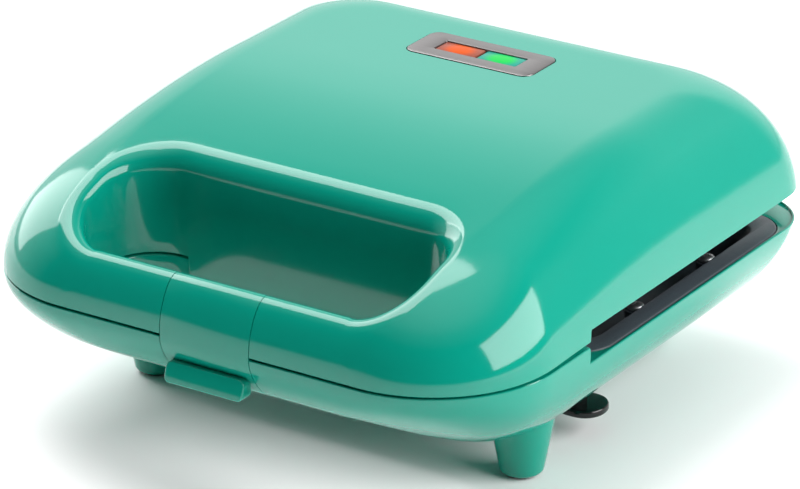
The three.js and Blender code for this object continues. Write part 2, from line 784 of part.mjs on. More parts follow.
// Lid shell
function makeLidShell() {
  let shell = lidFull.subtract(hollowForm(lidForm));
  const apronLow = lidSeamHeight - apronDrop;
  const apronTop = lidSeamHeight + wall / 2;
  shell = shell.add(box(-apronHalf, apronHalf, throatRear, throatRear + wall, apronLow, apronTop));
  shell = shell.subtract(sideCut(lidLow - overrun, lidEdgeHeight));
  shell = shell.add(latchCheeks(lidFull, lidForm));
  shell = shell.subtract(latchPocket(lidLow, crownHeight));
  const overCore = box(-pocketHalf, pocketHalf, frontEdge, barBack + overrun, latchCoreTop, crownHeight);
  shell = shell.subtract(overCore);
  const pinBore = rodAlongX(latchPinRadius + pinClearance, 2 * cheekHalf + overrun, pinSides, 0, 0, 0);
  shell = shell.subtract(pinBore.translate([-cheekHalf - overrun / 2, latchPinPlaceY, latchPinPlaceZ]));
  for (const side of [-1, 1]) {
    for (const y of bossPlaces) {
      const x = side * bossX;
      const bossFoot = upperPanBottom + panSheet + fitGap;
      const boss = rod(bossRadius, crownHeight - bossFoot, bossSides, x, y, bossFoot);
      shell = shell.add(boss.intersect(lidFull));
      shell = shell.subtract(screwHole(x, y, bossFoot - overrun, bossFoot + panScrewLength));
    }
    for (const y of plateScrewPlaces) {
      const postFoot = upperPlateBack + fitGap;
      const postLength = crownHeight - lidPostHeadroom - postFoot;
      const post = rod(postRadius, postLength, bossSides, side * plateScrewX, y, postFoot);
      shell = shell.add(post.intersect(lidFull));
      shell = shell.subtract(screwHole(side * plateScrewX, y, postFoot - overrun, postFoot + overrun));
    }
    const pillarFoot = lampHolderTop + fitGap;
    const pillarLength = crownHeight - wall / 2 - pillarFoot;
    shell = shell.add(rod(lampPillarRadius, pillarLength, bossSides, side * lampPillarX, bezelY, pillarFoot));
    const pillarHoleTop = pillarFoot + pillarLength * pillarHoleShare;
    shell = shell.subtract(screwHole(side * lampPillarX, bezelY, lampHolderTop, pillarHoleTop));
  }
  const bezelSeat = crownHeight + bezelProud - bezelThick - fitGap;
  const bezelPlan = bezelOutline(bezelHalfX + fitGap, bezelHalfY + fitGap, bezelCorner + fitGap);
  shell = shell.subtract(plateOf(bezelPlan, bezelSeat, crownHeight + overrun));
  const slotX = windowHalfX + fitGap;
  const slotY = windowHalfY + fitGap;
  return shell.subtract(box(-slotX, slotX, bezelY - slotY, bezelY + slotY, lampHolderTop, crownHeight));
}

function bezelOutline(halfX, halfY, corner) {
  const corners = { frontCorner: corner, rearCorner: corner };
  return roundedOutline({ half: halfX, front: bezelY - halfY, rear: bezelY + halfY, ...corners });
}

addPiece(lidGroup, 'lid_shell', makeLidShell(), turquoise);

// Base shell
function makeBaseShell() {
  let shell = baseFull.subtract(hollowForm(baseForm));
  const rebateBack = throatRear + wall + apronGap;
  const rebateLow = lidSeamHeight - apronDrop - apronGap;
  const backHalf = apronHalf + apronGap + apronBacking;
  const backingRear = rebateBack + apronBacking;
  const backing = box(-backHalf, backHalf, throatRear, backingRear, rebateLow - apronBacking, baseHigh);
  shell = shell.add(backing.intersect(baseFull));
  const rebateHalf = apronHalf + apronGap;
  shell = shell.subtract(box(-rebateHalf, rebateHalf, throatRear - overrun, rebateBack, rebateLow, baseHigh));
  shell = shell.subtract(sideCut(deckHeight, baseHigh + overrun));
  shell = shell.subtract(plateRebate());
  shell = shell.add(latchCheeks(baseFull, baseForm)).subtract(latchPocket(0, baseHigh));
  for (const side of [-1, 1]) {
    const bossTop = lowerPanTop - panSheet - fitGap;
    for (const y of bossPlaces) {
      const boss = rod(bossRadius, bossTop - bottomHeight, bossSides, side * bossX, y, bottomHeight);
      const bossHoleLow = bossTop + fitGap - panScrewLength;
      shell = shell.add(boss.intersect(baseFull));
      shell = shell.subtract(screwHole(side * bossX, y, bossHoleLow, bossTop + overrun));
    }
    for (const y of plateScrewPlaces) {
      const postTop = lowerPlateFoot - fitGap;
      const post = rod(postRadius, postTop - bottomHeight, bossSides, side * plateScrewX, y, bottomHeight);
      shell = shell.add(post.intersect(baseFull));
      const holeLow = lowerRimTop - plateScrewPadDrop - lowerPlateScrewLength - fitGap;
      shell = shell.subtract(screwHole(side * plateScrewX, y, holeLow, postTop + overrun));
    }
    const holeRadius = hookPegRadius + fitGap;
    const hookHole = rod(holeRadius, 2 * overrun, bossSides, side * hookX, hookY, bottomHeight - overrun);
    shell = shell.subtract(hookHole);
  }
  const pegHoleRadius = footPegRadius + fitGap;
  for (const [, x, y] of footPlaces) {
    shell = shell.subtract(rod(pegHoleRadius, 2 * overrun, bossSides, x, y, bottomHeight - overrun));
  }
  const blockSeat = box(-blockHalfX, blockHalfX, blockFront, blockRear, bottomHeight, blockFoot - fitGap);
  const padFront = glandSeat - glandPadDepth;
  const glandPad = box(-glandPadHalf, glandPadHalf, padFront, rearEdge, bottomHeight, deckHeight);
  const glandPadTrim = glandPad.intersect(baseFull).subtract(frameKeepOut());
  shell = shell.add(blockSeat.intersect(baseFull)).add(glandPadTrim);
  const roomX = blockHalfX + fitGap;
  const roomRear = blockRear + fitGap;
  shell = shell.subtract(box(-roomX, roomX, blockFront, roomRear, blockFoot, blockTop));
  const boreFront = padFront - overrun;
  const boreProfile = cylinderProfile(glandBarrel + fitGap, glandSeat + overrun - boreFront);
  const bore = turnedAlongY(boreProfile, bossSides, 0, boreFront, glandHeight);
  const seatProfile = cylinderProfile(glandFlange + fitGap, glandSetback + overrun);
  const seat = turnedAlongY(seatProfile, bossSides, 0, glandSeat, glandHeight);
  return shell.subtract(bore).subtract(seat);
}

function plateRebate() {
  const plan = {
    half: plateHalf + fitGap,
    front: plateFront - fitGap,
    rear: plateRear + fitGap,
    frontCorner: plateCorner + fitGap,
    rearCorner: plateCorner + fitGap,
  };
  return plateOf(roundedOutline(plan), lowerRimTop - plateRimThick - fitGap, baseHigh);
}

function frameKeepOut() {
  const low = deckHeight - frameLedgeDrop - fitGap;
  return box(-width, width, -depth, rearEdge - frameEdge + fitGap, low, baseHigh);
}

addPiece(baseGroup, 'base_shell', makeBaseShell(), turquoise);

// Inner frames: they close each half behind its seam, carry the hinge and edge the plates
function frameBlank(form, seamFace, seamBack, deckFace, deckBack) {
  const plan = roundedOutline(grown(outlinePlan, -frameEdge), shellSteps);
  const low = Math.min(seamFace, seamBack, deckFace, deckBack);
  const high = Math.max(seamFace, seamBack, deckFace, deckBack);
  const slab = (a, b) => plateOf(plan, Math.min(a, b), Math.max(a, b));
  const region = (half, y0, y1) => box(-half, half, y0, y1, low - overrun, high + overrun);
  const front = slab(seamFace, seamBack).intersect(region(width, -depth, stepPlace));
  const deck = slab(deckFace, deckBack).intersect(region(width, stepPlace - frameThick, depth));
  const web = slab(low, high).intersect(region(width, stepPlace - frameThick, stepPlace));
  const throat = plateOf(roundedOutline(grown(throatPlan, frameEdge)), low - overrun, high + overrun);
  const barWay = region(width, -depth, frontEdge + frameBarSetback);
  const latchWay = region(cheekHalf + fitGap, -depth, barBack + fitGap);
  const blank = front.add(deck).add(web).intersect(roomForm(form));
  return blank.subtract(throat).subtract(latchWay).subtract(barWay);
}

function knuckle(x, length, low, high) {
  const barrel = rodAlongX(knuckleRadius, length, pinSides, x - length / 2, hingeY, hingeZ);
  const webFront = hingeY - knuckleRadius;
  return barrel.add(box(x - length / 2, x + length / 2, webFront, webFront + knuckleWeb, low, high));
}

const pinHole = () => rodAlongX(hingePinRadius + pinClearance, width, pinSides, -halfWidth, hingeY, hingeZ);
const baseKnuckleOffset = (lidKnuckleLength + baseKnuckleLength) / 2 + fitGap;

function makeBaseFrame() {
  const seamFace = baseSeamHeight - fitGap;
  const deckFace = deckHeight - fitGap;
  const deckBack = deckHeight - frameLedgeDrop;
  let frame = frameBlank(baseForm, seamFace, seamFace - frameThick, deckFace, deckBack);
  const rebateBack = throatRear + wall + apronGap + apronBacking + fitGap;
  const backHalf = apronHalf + apronGap + apronBacking + fitGap;
  frame = frame.subtract(box(-backHalf, backHalf, throatRear - overrun, rebateBack, 0, crownHeight));
  frame = frame.subtract(plateRebate());
  const opening = {
    half: plateHalf - rimSideWidth + plateFloor + fitGap,
    front: plateFront + rimEndWidth - plateFloor - fitGap,
    rear: plateRear - rimEndWidth + plateFloor + fitGap,
    frontCorner: recessCorner + plateFloor,
    rearCorner: recessCorner + plateFloor,
  };
  frame = frame.subtract(plateOf(roundedOutline(opening), 0, crownHeight));
  for (const side of [-1, 1]) {
    for (const offset of [-baseKnuckleOffset, baseKnuckleOffset]) {
      const x = side * (hingeCentre + offset);
      frame = frame.add(knuckle(x, baseKnuckleLength, deckFace - knuckleEmbed, hingeZ));
    }
  }
  return frame.subtract(pinHole());
}

function makeLidFrame() {
  const seamFace = lidSeamHeight + fitGap;
  const deckFace = lidEdgeHeight + fitGap;
  const deckBack = deckFace + frameThick;
  let frame = frameBlank(lidForm, seamFace, seamFace + frameThick, deckFace, deckBack);
  const skin = plateFloor + fitGap;
  const opening = {
    half: plateHalf - rimSideWidth + skin,
    front: plateFront + rimEndWidth - skin,
    rear: plateRear - rimEndWidth + skin,
    frontCorner: recessCorner + skin,
    rearCorner: recessCorner + skin,
  };
  frame = frame.subtract(plateOf(roundedOutline(opening), 0, crownHeight));
  for (const side of [-1, 1]) {
    frame = frame.add(knuckle(side * hingeCentre, lidKnuckleLength, hingeZ, deckBack));
  }
  return frame.subtract(pinHole());
}

addPiece(baseGroup, 'base_frame', makeBaseFrame(), turquoise);
addPiece(lidGroup, 'lid_frame', makeLidFrame(), turquoise);

// Hinge pins
const hingePinLength = lidKnuckleLength + 2 * baseKnuckleLength + 3 * fitGap;
for (const [name, side] of [['hinge_pin_left', -1], ['hinge_pin_right', 1]]) {
  const half = hingePinLength / 2 + fitGap;
  const pin = turnedAlongX([
    [0, -half],
    [hingePinRadius, -half],
    [hingePinRadius, half],
    [pinHeadRadius, half],
    [pinHeadRadius, half + pinHeadLength],
    [0, half + pinHeadLength],
  ], pinSides, 0, 0, 0);
  const facing = side > 0 ? pin.mirror([1, 0, 0]) : pin;
  addPiece(baseGroup, name, facing.translate([side * hingeCentre, hingeY, hingeZ]), steel);
}

// Latch clip: a skin flush with both halves, a barrel round its pin, a lip under the bar and a finger tab
const tabHalf = 17;
const tabReach = 2;
const tabEmbed = 5;
const tabDrop = 9.5;
const tabThick = 7.2;
const tabRound = 3;
const tabFront = frontEdge - tabReach;
const tabBack = frontEdge + tabEmbed;
const tabTop = baseSeamHeight - tabDrop;
const tabBottom = tabTop - tabThick;

function barProfile(form) {
  const middle = shellSteps.frontSteps / 2;
  const levels = shellLevels(form, 0, outerRows, outerRimRows, outerCrowding);
  return levels.map((level) => [level[middle].y, level[middle].z]);
}

// The same line moved in towards the bar's middle
function insideLine(line, by) {
  return line.map(([y, z], i) => {
    const [y0, z0] = line[Math.max(0, i - 1)];
    const [y1, z1] = line[Math.min(line.length - 1, i + 1)];
    const length = Math.hypot(y1 - y0, z1 - z0);
    return [y + (by * (z1 - z0)) / length, z - (by * (y1 - y0)) / length];
  });
}

function makeLatchClip() {
  const lip = latchBackFace - fitGap;
  const under = barProfile(baseForm).filter(([y]) => y < lip).reverse();
  const over = barProfile(lidForm).slice(0, -1);
  const belowPin = over.filter(([, z]) => z < latchPinPlaceZ);
  const skinLine = [...under, ...belowPin].filter(([y]) => y < latchPinPlaceY);
  const inner = insideLine(skinLine, latchSkin).filter(([y]) => y < lip).reverse();
  const outer = [...under, ...over];
  const pinCorner = [latchPinPlaceY, latchPinPlaceZ];
  const half = latchWidth / 2;
  const skin = extrudeAcross([...outer, pinCorner, ...inner], -half, half);
  const barrel = rodAlongX(latchBarrelRadius, latchWidth, pinSides, -half, ...pinCorner);
  const tabPlan = {
    half: tabHalf,
    front: tabFront,
    rear: tabBack,
    frontCorner: tabRound,
    rearCorner: tabRound / 2,
  };
  const tab = plateOf(roundedOutline(tabPlan), tabBottom, tabTop);
  const bore = rodAlongX(latchPinRadius + pinClearance, width, pinSides, -halfWidth, ...pinCorner);
  return skin.add(barrel).add(tab).subtract(bore);
}

addPiece(latchGroup, 'latch_clip', makeLatchClip(), turquoise);

const latchPinHalf = cheekHalf - fitGap;
const latchPin = rodAlongX(latchPinRadius, 2 * latchPinHalf, pinSides, -latchPinHalf, 0, 0);
addPiece(lidGroup, 'latch_pin', latchPin.translate([0, latchPinPlaceY, latchPinPlaceZ]), steel);

// Heating elements: a tube bent to a loop behind each plate, with its ends at the rear
const elementSideInset = 15;
const elementFrontInset = 15;
const elementRearInset = 13;
const elementHalf = panHalf - elementSideInset;
const elementFront = panFront + elementFrontInset;
const elementBack = panRear - elementRearInset;
const elementEndX = 14;
const elementEndY = blockFront - fitGap;
const elementBend = 14;
const elementSteps = 34;

function elementTube(height) {
  const corners = [
    [elementEndX, elementEndY],
    [elementEndX, elementBack],
    [elementHalf, elementBack],
    [elementHalf, elementFront],
    [-elementHalf, elementFront],
    [-elementHalf, elementBack],
    [-elementEndX, elementBack],
    [-elementEndX, elementEndY],
  ].map(([x, y]) => new THREE.Vector3(x, y, height));
  const curve = new THREE.CurvePath();
  let from = corners[0];
  for (let i = 1; i + 1 < corners.length; i += 1) {
    const before = corners[i - 1].clone().sub(corners[i]).setLength(elementBend).add(corners[i]);
    const after = corners[i + 1].clone().sub(corners[i]).setLength(elementBend).add(corners[i]);
    curve.add(new THREE.LineCurve3(from, before));
    curve.add(new THREE.QuadraticBezierCurve3(before, corners[i], after));
    from = after;
  }
  curve.add(new THREE.LineCurve3(from, corners[corners.length - 1]));
  return tubeAlong(curve, elementRadius, elementSides, elementSteps);
}

addPiece(baseGroup, 'lower_heating_element', elementTube(lowerElementHeight), elementSteel);
addPiece(lidGroup, 'upper_heating_element', elementTube(upperElementHeight), elementSteel);

// Reflector pans: shallow trays that close each element in behind its plate
function reflectorPan() {
  const corners = { frontCorner: panCorner, rearCorner: panCorner };
  const plan = { half: panHalf, front: panFront, rear: panRear, ...corners };
  const rimTop = panSheet + 2 * fitGap + 2 * elementRadius;
  const tray = plateOf(roundedOutline(plan), 0, rimTop);
  const high = rimTop + overrun;
  let pan = tray.subtract(plateOf(roundedOutline(grown(plan, -panSheet)), panSheet, high));
  const slotFront = panRear - 2 * panSheet;
  pan = pan.subtract(box(-panSlotHalf, panSlotHalf, slotFront, panRear + overrun, panSheet, high));
  for (const side of [-1, 1]) {
    for (const y of bossPlaces) {
      pan = pan.subtract(screwHole(side * bossX, y, -overrun, overrun));
    }
  }
  return pan;
}

const lowerPan = reflectorPan().translate([0, 0, lowerPanTop - panSheet]);
addPiece(baseGroup, 'lower_reflector_pan', lowerPan, sheetMetal);
const upperPan = reflectorPan().mirror([0, 0, 1]).translate([0, 0, upperPanBottom + panSheet]);
addPiece(lidGroup, 'upper_reflector_pan', upperPan, sheetMetal);

const panScrewReach = panScrewLength - fitGap;
let panScrewCount = 0;
for (const side of [-1, 1]) {
  for (const y of bossPlaces) {
    panScrewCount += 1;
    const lower = screw(side * bossX, y, lowerPanTop, 1, panScrewReach);
    const upper = screw(side * bossX, y, upperPanBottom, -1, panScrewReach);
    addPiece(baseGroup, `lower_pan_screw_${panScrewCount}`, lower, steel);
    addPiece(lidGroup, `upper_pan_screw_${panScrewCount}`, upper, steel);
  }
}

// Terminal block behind the lower element, and the gland where a lead enters
const blockGrooveDepth = 3;
const blockWallWidth = 3;
const blockMiddleShare = 1 / 3;

function makeTerminalBlock() {
  const body = box(-blockHalfX, blockHalfX, blockFront, blockRear, blockFoot, blockTop);
  const outer = blockHalfX - blockWallWidth;
  const inner = blockHalfX * blockMiddleShare;
  const grooveFront = blockFront + blockWallWidth;
  const grooveLow = blockTop - blockGrooveDepth;
  const groove = box(inner, outer, grooveFront, blockRear + overrun, grooveLow, blockTop + overrun);
  return body.subtract(groove).subtract(mirrorX(groove));
}

addPiece(baseGroup, 'terminal_block', makeTerminalBlock(), ceramic);

const glandBore = 3.6;
const glandLip = 3.2;
const glandReach = 7;
const glandShoulderShare = 0.6;
const glandNoseShare = 0.7;

function makeGland() {
  return turnedAlongY([
    [glandBore, -glandReach],
    [glandBarrel, -glandReach],
    [glandBarrel, fitGap],
    [glandFlange, fitGap],
    [glandFlange, glandLip * glandShoulderShare],
    [glandFlange * glandNoseShare, glandLip],
    [glandBore, glandLip],
    [glandBore, -glandReach],
  ], pinSides, 0, glandSeat, glandHeight);
}

addPiece(baseGroup, 'cord_gland', makeGland(), blackPlastic);

// Feet with pegs into the base and rubber pads
const footSides = 14;
const footTopRadius = 11.6;
const footFootRadius = 8.4;
const footEdge = 2;
const footLift = 0.8;
const footBlend = 6;
const footPegReach = 5;
const footEdgeShare = 0.3;
const padRadius = 5.6;
const padHeight = 2.4;

// Cuts a piece to the base's underside, a fit gap below it
const hugBase = (solid) => solid.subtract(baseFull.translate([0, 0, -fitGap]));

function makeFoot(x, y) {
  const cone = turned([
    [0, footLift],
    [footFootRadius - footEdge, footLift],
    [footFootRadius - footEdge * footEdgeShare, footLift + footEdge * footEdgeShare],
    [footFootRadius, footLift + footEdge],
    [footTopRadius, bottomHeight],
    [footTopRadius, bottomHeight + footBlend],
    [0, bottomHeight + footBlend],
  ], footSides, x, y, 0);
  const pegFoot = bottomHeight / 2;
  const peg = rod(footPegRadius, bottomHeight + footPegReach - pegFoot, bossSides, x, y, pegFoot);
  const padPocket = rod(padRadius + fitGap, padHeight + fitGap, footSides, x, y, 0);
  return hugBase(cone).add(peg).subtract(padPocket);
}

for (const [place, x, y] of footPlaces) {
  addPiece(baseGroup, `foot_${place}`, makeFoot(x, y), turquoise);
  const pad = turned([
    [0, 0],
    [padRadius - fitGap, 0],
    [padRadius, fitGap],
    [padRadius, padHeight],
    [0, padHeight],
  ], footSides, x, y, 0);
  addPiece(baseGroup, `foot_pad_${place}`, pad, rubber);
}

// Cord hooks under the sides
const hookGap = 8;
const hookTabThick = 3;
const hookTabHalfX = 10;
const hookTabHalfY = 9;
const hookReach = 14;
const hookCorner = 8.5;
const hookPostHalf = 4;
const hookPegReach = 4;
const hookTabLow = bottomHeight - hookGap - hookTabThick;

function makeHook() {
  const middle = hookX + hookReach - hookTabHalfX;
  const outline = {
    half: hookTabHalfX,
    front: -hookTabHalfY,
    rear: hookTabHalfY,
    frontCorner: hookCorner,
    rearCorner: hookCorner,
  };
  const plate = plateOf(roundedOutline(outline), hookTabLow, hookTabLow + hookTabThick);
  const tab = plate.translate([middle, hookY, 0]);
  const postLow = hookTabLow + hookTabThick / 2;
  const postHeight = bottomHeight + overrun - postLow;
  return tab.add(block(hookX, hookY, postLow, 2 * hookPostHalf, 2 * hookPostHalf, postHeight));
}

const hook = makeHook();
const hookPegLength = bottomHeight + hookPegReach - hookTabLow;
const hookPeg = rod(hookPegRadius, hookPegLength, bossSides, hookX, hookY, hookTabLow);
addPiece(baseGroup, 'cord_hook_right', hugBase(hook).add(hookPeg), blackPlastic);
addPiece(baseGroup, 'cord_hook_left', hugBase(mirrorX(hook)).add(mirrorX(hookPeg)), blackPlastic);

// Thermostat and thermal fuse on the back of the upper pan
const thermostatX = 30;
const thermostatSetback = 27;
const thermostatY = bezelY - thermostatSetback;
const thermostatRadius = 9;
const thermostatHeight = 8;
const thermostatShoulderShare = 0.6;
const thermostatCapShare = 0.75;
const fuseX = -34;
const fuseRadius = 2.6;
const fuseLength = 16;
const panBack = upperPanBottom + panSheet + fitGap;

const thermostat = turned([
  [0, 0],
  [thermostatRadius, 0],
  [thermostatRadius, thermostatHeight * thermostatShoulderShare],
  [thermostatRadius * thermostatCapShare, thermostatHeight * thermostatShoulderShare],
  [thermostatRadius * thermostatCapShare, thermostatHeight],
  [0, thermostatHeight],
], footSides, thermostatX, thermostatY, panBack);
addPiece(lidGroup, 'thermostat', thermostat, ceramic);

const fuse = rodAlongX(fuseRadius, fuseLength, pinSides, fuseX, thermostatY, panBack + fuseRadius);
addPiece(lidGroup, 'thermal_fuse', fuse, sleeveWhite);

// Indicator: bezel, two lenses, their holder, its lamps and screws
const dividerHalf = 0.6;
const lensDrop = 0.4;
const bezelTop = crownHeight + bezelProud;
const lampRadius = 2.4;
const lampLength = 11;
const holderHalfX = 31;
const holderHalfY = 7;
const holderDeep = 8;
const troughHalfY = 4;
const troughDeep = 6;

const bezelFace = plateOf(bezelOutline(bezelHalfX, bezelHalfY, bezelCorner), bezelTop - bezelThick, bezelTop);
const windowX = windowHalfX + fitGap;
const windowY = windowHalfY + fitGap;
const windowCut = block(0, bezelY, crownHeight - overrun, 2 * windowX, 2 * windowY, 2 * overrun);
addPiece(lidGroup, 'indicator_bezel', bezelFace.subtract(windowCut), steel);

const lensBottom = lampHolderTop + fitGap;
for (const [name, side, material] of [['power_lens', -1, amberLens], ['ready_lens', 1, greenLens]]) {
  const near = side > 0 ? dividerHalf : -windowHalfX;
  const far = side > 0 ? windowHalfX : -dividerHalf;
  const lens = box(near, far, bezelY - windowHalfY, bezelY + windowHalfY, lensBottom, bezelTop - lensDrop);
  addPiece(lidGroup, name, lens, material);
}

const holderLow = lampHolderTop - holderDeep;
const troughLow = lampHolderTop - troughDeep;
const troughRear = bezelY + troughHalfY;
const troughHigh = lampHolderTop + overrun;
const trough = box(2 * dividerHalf, windowHalfX, bezelY - troughHalfY, troughRear, troughLow, troughHigh);
let holder = block(0, bezelY, holderLow, 2 * holderHalfX, 2 * holderHalfY, holderDeep);
holder = holder.subtract(trough).subtract(mirrorX(trough));
for (const side of [-1, 1]) {
  holder = holder.subtract(screwHole(side * lampPillarX, bezelY, holderLow - overrun, crownHeight));
}
addPiece(lidGroup, 'lamp_holder', holder, blackPlastic);

const lampX = (windowHalfX - lampLength) / 2 + dividerHalf;
const lampHeight = troughLow + fitGap + lampRadius;
const rightLamp = rodAlongX(lampRadius, lampLength, pinSides, lampX, bezelY, lampHeight);
addPiece(lidGroup, 'ready_lamp', rightLamp, sleeveWhite);
addPiece(lidGroup, 'power_lamp', mirrorX(rightLamp), sleeveWhite);

const holderScrewLength = 11;
for (const [name, side] of [['lamp_holder_screw_1', -1], ['lamp_holder_screw_2', 1]]) {
  addPiece(lidGroup, name, screw(side * lampPillarX, bezelY, holderLow, -1, holderScrewLength), steel);
}

// The origin lies under the middle of the whole box, so the model moves by half its overhang
const frontReach = tabFront;
const rearReach = hingeY + knuckleRadius;
assembly.children.forEach((group) => group.position.setY(-(frontReach + rearReach) / 2));

export default assembly;
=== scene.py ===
# %% [markdown]
# A snack maker in glossy turquoise plastic, dressed in Blender around its fixed CAD frame.
# The frame gives every piece its place and its motion, so each new piece below is made where the
# CAD node that it stands for already is. Sizes are in millimetres while a piece is modelled, and
# the finished mesh is turned into metres, because round numbers of millimetres are easy to read.

# %% Load the frame and keep its box
import json
import math

import bmesh
import bpy
from mathutils import Matrix, Vector


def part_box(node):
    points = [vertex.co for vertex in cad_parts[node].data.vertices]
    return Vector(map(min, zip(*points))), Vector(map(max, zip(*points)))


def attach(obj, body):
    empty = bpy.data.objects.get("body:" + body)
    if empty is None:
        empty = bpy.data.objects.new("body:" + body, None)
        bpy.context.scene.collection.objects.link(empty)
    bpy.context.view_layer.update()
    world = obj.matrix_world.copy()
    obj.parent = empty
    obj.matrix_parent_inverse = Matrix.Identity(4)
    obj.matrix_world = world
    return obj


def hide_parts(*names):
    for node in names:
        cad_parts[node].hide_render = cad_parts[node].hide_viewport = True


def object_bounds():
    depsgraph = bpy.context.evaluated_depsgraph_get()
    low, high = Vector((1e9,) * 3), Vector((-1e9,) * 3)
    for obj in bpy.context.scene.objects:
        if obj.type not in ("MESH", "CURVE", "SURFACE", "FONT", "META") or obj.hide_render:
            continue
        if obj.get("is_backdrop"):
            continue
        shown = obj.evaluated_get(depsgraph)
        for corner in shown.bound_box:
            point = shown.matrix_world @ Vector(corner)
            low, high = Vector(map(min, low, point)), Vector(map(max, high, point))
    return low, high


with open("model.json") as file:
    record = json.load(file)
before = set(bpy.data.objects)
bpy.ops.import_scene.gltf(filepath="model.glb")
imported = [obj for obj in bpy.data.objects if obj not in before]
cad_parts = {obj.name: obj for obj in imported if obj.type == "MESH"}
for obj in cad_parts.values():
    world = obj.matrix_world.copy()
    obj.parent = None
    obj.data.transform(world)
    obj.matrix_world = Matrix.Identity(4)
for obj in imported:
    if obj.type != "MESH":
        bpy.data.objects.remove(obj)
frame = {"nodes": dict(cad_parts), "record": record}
nodes = frame["nodes"]
MM = 0.001
cad_box = [list(corner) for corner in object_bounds()]
print("CAD box in metres", cad_box)


def node_box(name):
    """Lowest and highest corner of a CAD node, in millimetres."""
    low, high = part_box(name)
    return low / MM, high / MM


# %% [markdown]
# The camera comes first, because every later choice is judged through it. Its place is worked out
# from a direction and a distance round an aim point, as a photographer thinks of it, and a long
# lens keeps the sides of the object nearly parallel.

# %% Camera at the photograph's angle
AZIMUTH = math.radians(33.45)
ELEVATION = math.radians(23.46)
CAMERA_DISTANCE = 1682.5
CAMERA_ROLL = math.radians(-0.38)
AIM = Vector((10.52, -11.08, 63.05))
LENS_LENGTH = 204.14
SENSOR_WIDTH = 36
NEAREST_SEEN = 0.05
FARTHEST_SEEN = 20

sight_back = Vector((
    math.sin(AZIMUTH) * math.cos(ELEVATION),
    -math.cos(AZIMUTH) * math.cos(ELEVATION),
    math.sin(ELEVATION),
))
camera_data = bpy.data.cameras.new("camera")
camera_data.lens = LENS_LENGTH
camera_data.sensor_width = SENSOR_WIDTH
camera_data.clip_start = NEAREST_SEEN
camera_data.clip_end = FARTHEST_SEEN
camera = bpy.data.objects.new("camera", camera_data)
bpy.context.scene.collection.objects.link(camera)
camera.location = (AIM + sight_back * CAMERA_DISTANCE) * MM
turn = (-sight_back).to_track_quat("-Z", "Y") @ Matrix.Rotation(CAMERA_ROLL, 3, "Z").to_quaternion()
camera.rotation_mode = "QUATERNION"
camera.rotation_quaternion = turn
bpy.context.scene.camera = camera
print("camera at", [round(value, 3) for value in camera.location])

# %% [markdown]
# A product photo of this kind is lit by a bright tent: white floor, big soft boxes above and at the
# sides, and darkness where the camera stands. Glossy plastic shows all of it as reflections, so the
# lights are part of the finish. The floor and the sky are stage and not part of the object.

# %% Floor and sky
FLOOR_SIZE = 9.0
SKY_STRENGTH = 1.45
BRIGHT_SIDE = (-0.6, 0.8, 0)
UPWARD = (0, 0, 1)
REAR_GREYS = [(0.0, 0.02), (0.35, 0.4), (0.8, 1.0)]
HEIGHT_GREYS = [(0.0, 0.78), (0.15, 0.85), (0.45, 0.95), (0.68, 0.4), (1.0, 0.4)]
TOP_GREYS = [(0.72, 0.0), (0.86, 0.2), (1.0, 0.85)]
scene = bpy.context.scene
scene.view_settings.view_transform = "Standard"
world = bpy.data.worlds.new("studio")
scene.world = world
world.use_nodes = True
sky = world.node_tree
sky.nodes.clear()
sky_output = sky.nodes.new("ShaderNodeOutputWorld")
sky_light = sky.nodes.new("ShaderNodeBackground")
sky_place = sky.nodes.new("ShaderNodeTexCoord")


def sky_ramp(direction, stops):
    """A grey that follows how far the sky lies towards a direction, by stops of (place, grey)."""
    towards = sky.nodes.new("ShaderNodeVectorMath")
    towards.operation = "DOT_PRODUCT"
    towards.inputs[1].default_value = direction
    sky.links.new(sky_place.outputs["Generated"], towards.inputs[0])
    ramp = sky.nodes.new("ShaderNodeValToRGB")
    sky.links.new(towards.outputs["Value"], ramp.inputs["Fac"])
    elements = ramp.color_ramp.elements
    while len(elements) < len(stops):
        elements.new(1)
    for element, (place, grey) in zip(elements, stops):
        element.position = place
        element.color = (grey, grey, grey, 1)
    return ramp.outputs["Color"]


def sky_mix(operation, first, second):
    """Two parts of the sky, multiplied or added."""
    mixed = sky.nodes.new("ShaderNodeVectorMath")
    mixed.operation = operation
    sky.links.new(first, mixed.inputs[0])
    sky.links.new(second, mixed.inputs[1])
    return mixed.outputs["Vector"]


tent_light = sky_mix("MULTIPLY", sky_ramp(BRIGHT_SIDE, REAR_GREYS), sky_ramp(UPWARD, HEIGHT_GREYS))
all_light = sky_mix("ADD", tent_light, sky_ramp(UPWARD, TOP_GREYS))
sky.links.new(all_light, sky_light.inputs["Color"])
sky.links.new(sky_light.outputs["Background"], sky_output.inputs["Surface"])
sky_light.inputs["Strength"].default_value = SKY_STRENGTH

floor_mesh = bmesh.new()
bmesh.ops.create_grid(floor_mesh, x_segments=1, y_segments=1, size=FLOOR_SIZE / 2)
floor_data = bpy.data.meshes.new("studio_floor")
floor_mesh.to_mesh(floor_data)
floor_mesh.free()
floor = bpy.data.objects.new("studio_floor", floor_data)
scene.collection.objects.link(floor)
floor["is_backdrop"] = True
print("floor", FLOOR_SIZE, "metres across, sky strength", SKY_STRENGTH)

# %% [markdown]
# Three soft boxes draw the highlights: one each on the front corners of the lid, from left and
# right, and one on the crest of the handle bar, from above. Their sizes are the highlights' sizes.

# %% Soft boxes
OBJECT_MIDDLE = Vector((0, 0, 0.06))
SOFT_BOXES = {
    "left_box": ((-1.4, 0.26, 0.62), (0.8, 1.0), 8.5),
    "right_box": ((1.35, 0.27, 0.7), (1.45, 1.0), 31),
    "overhead_box": ((-1.05, 0.33, 2.0), (1.35, 2.0), 50),
}


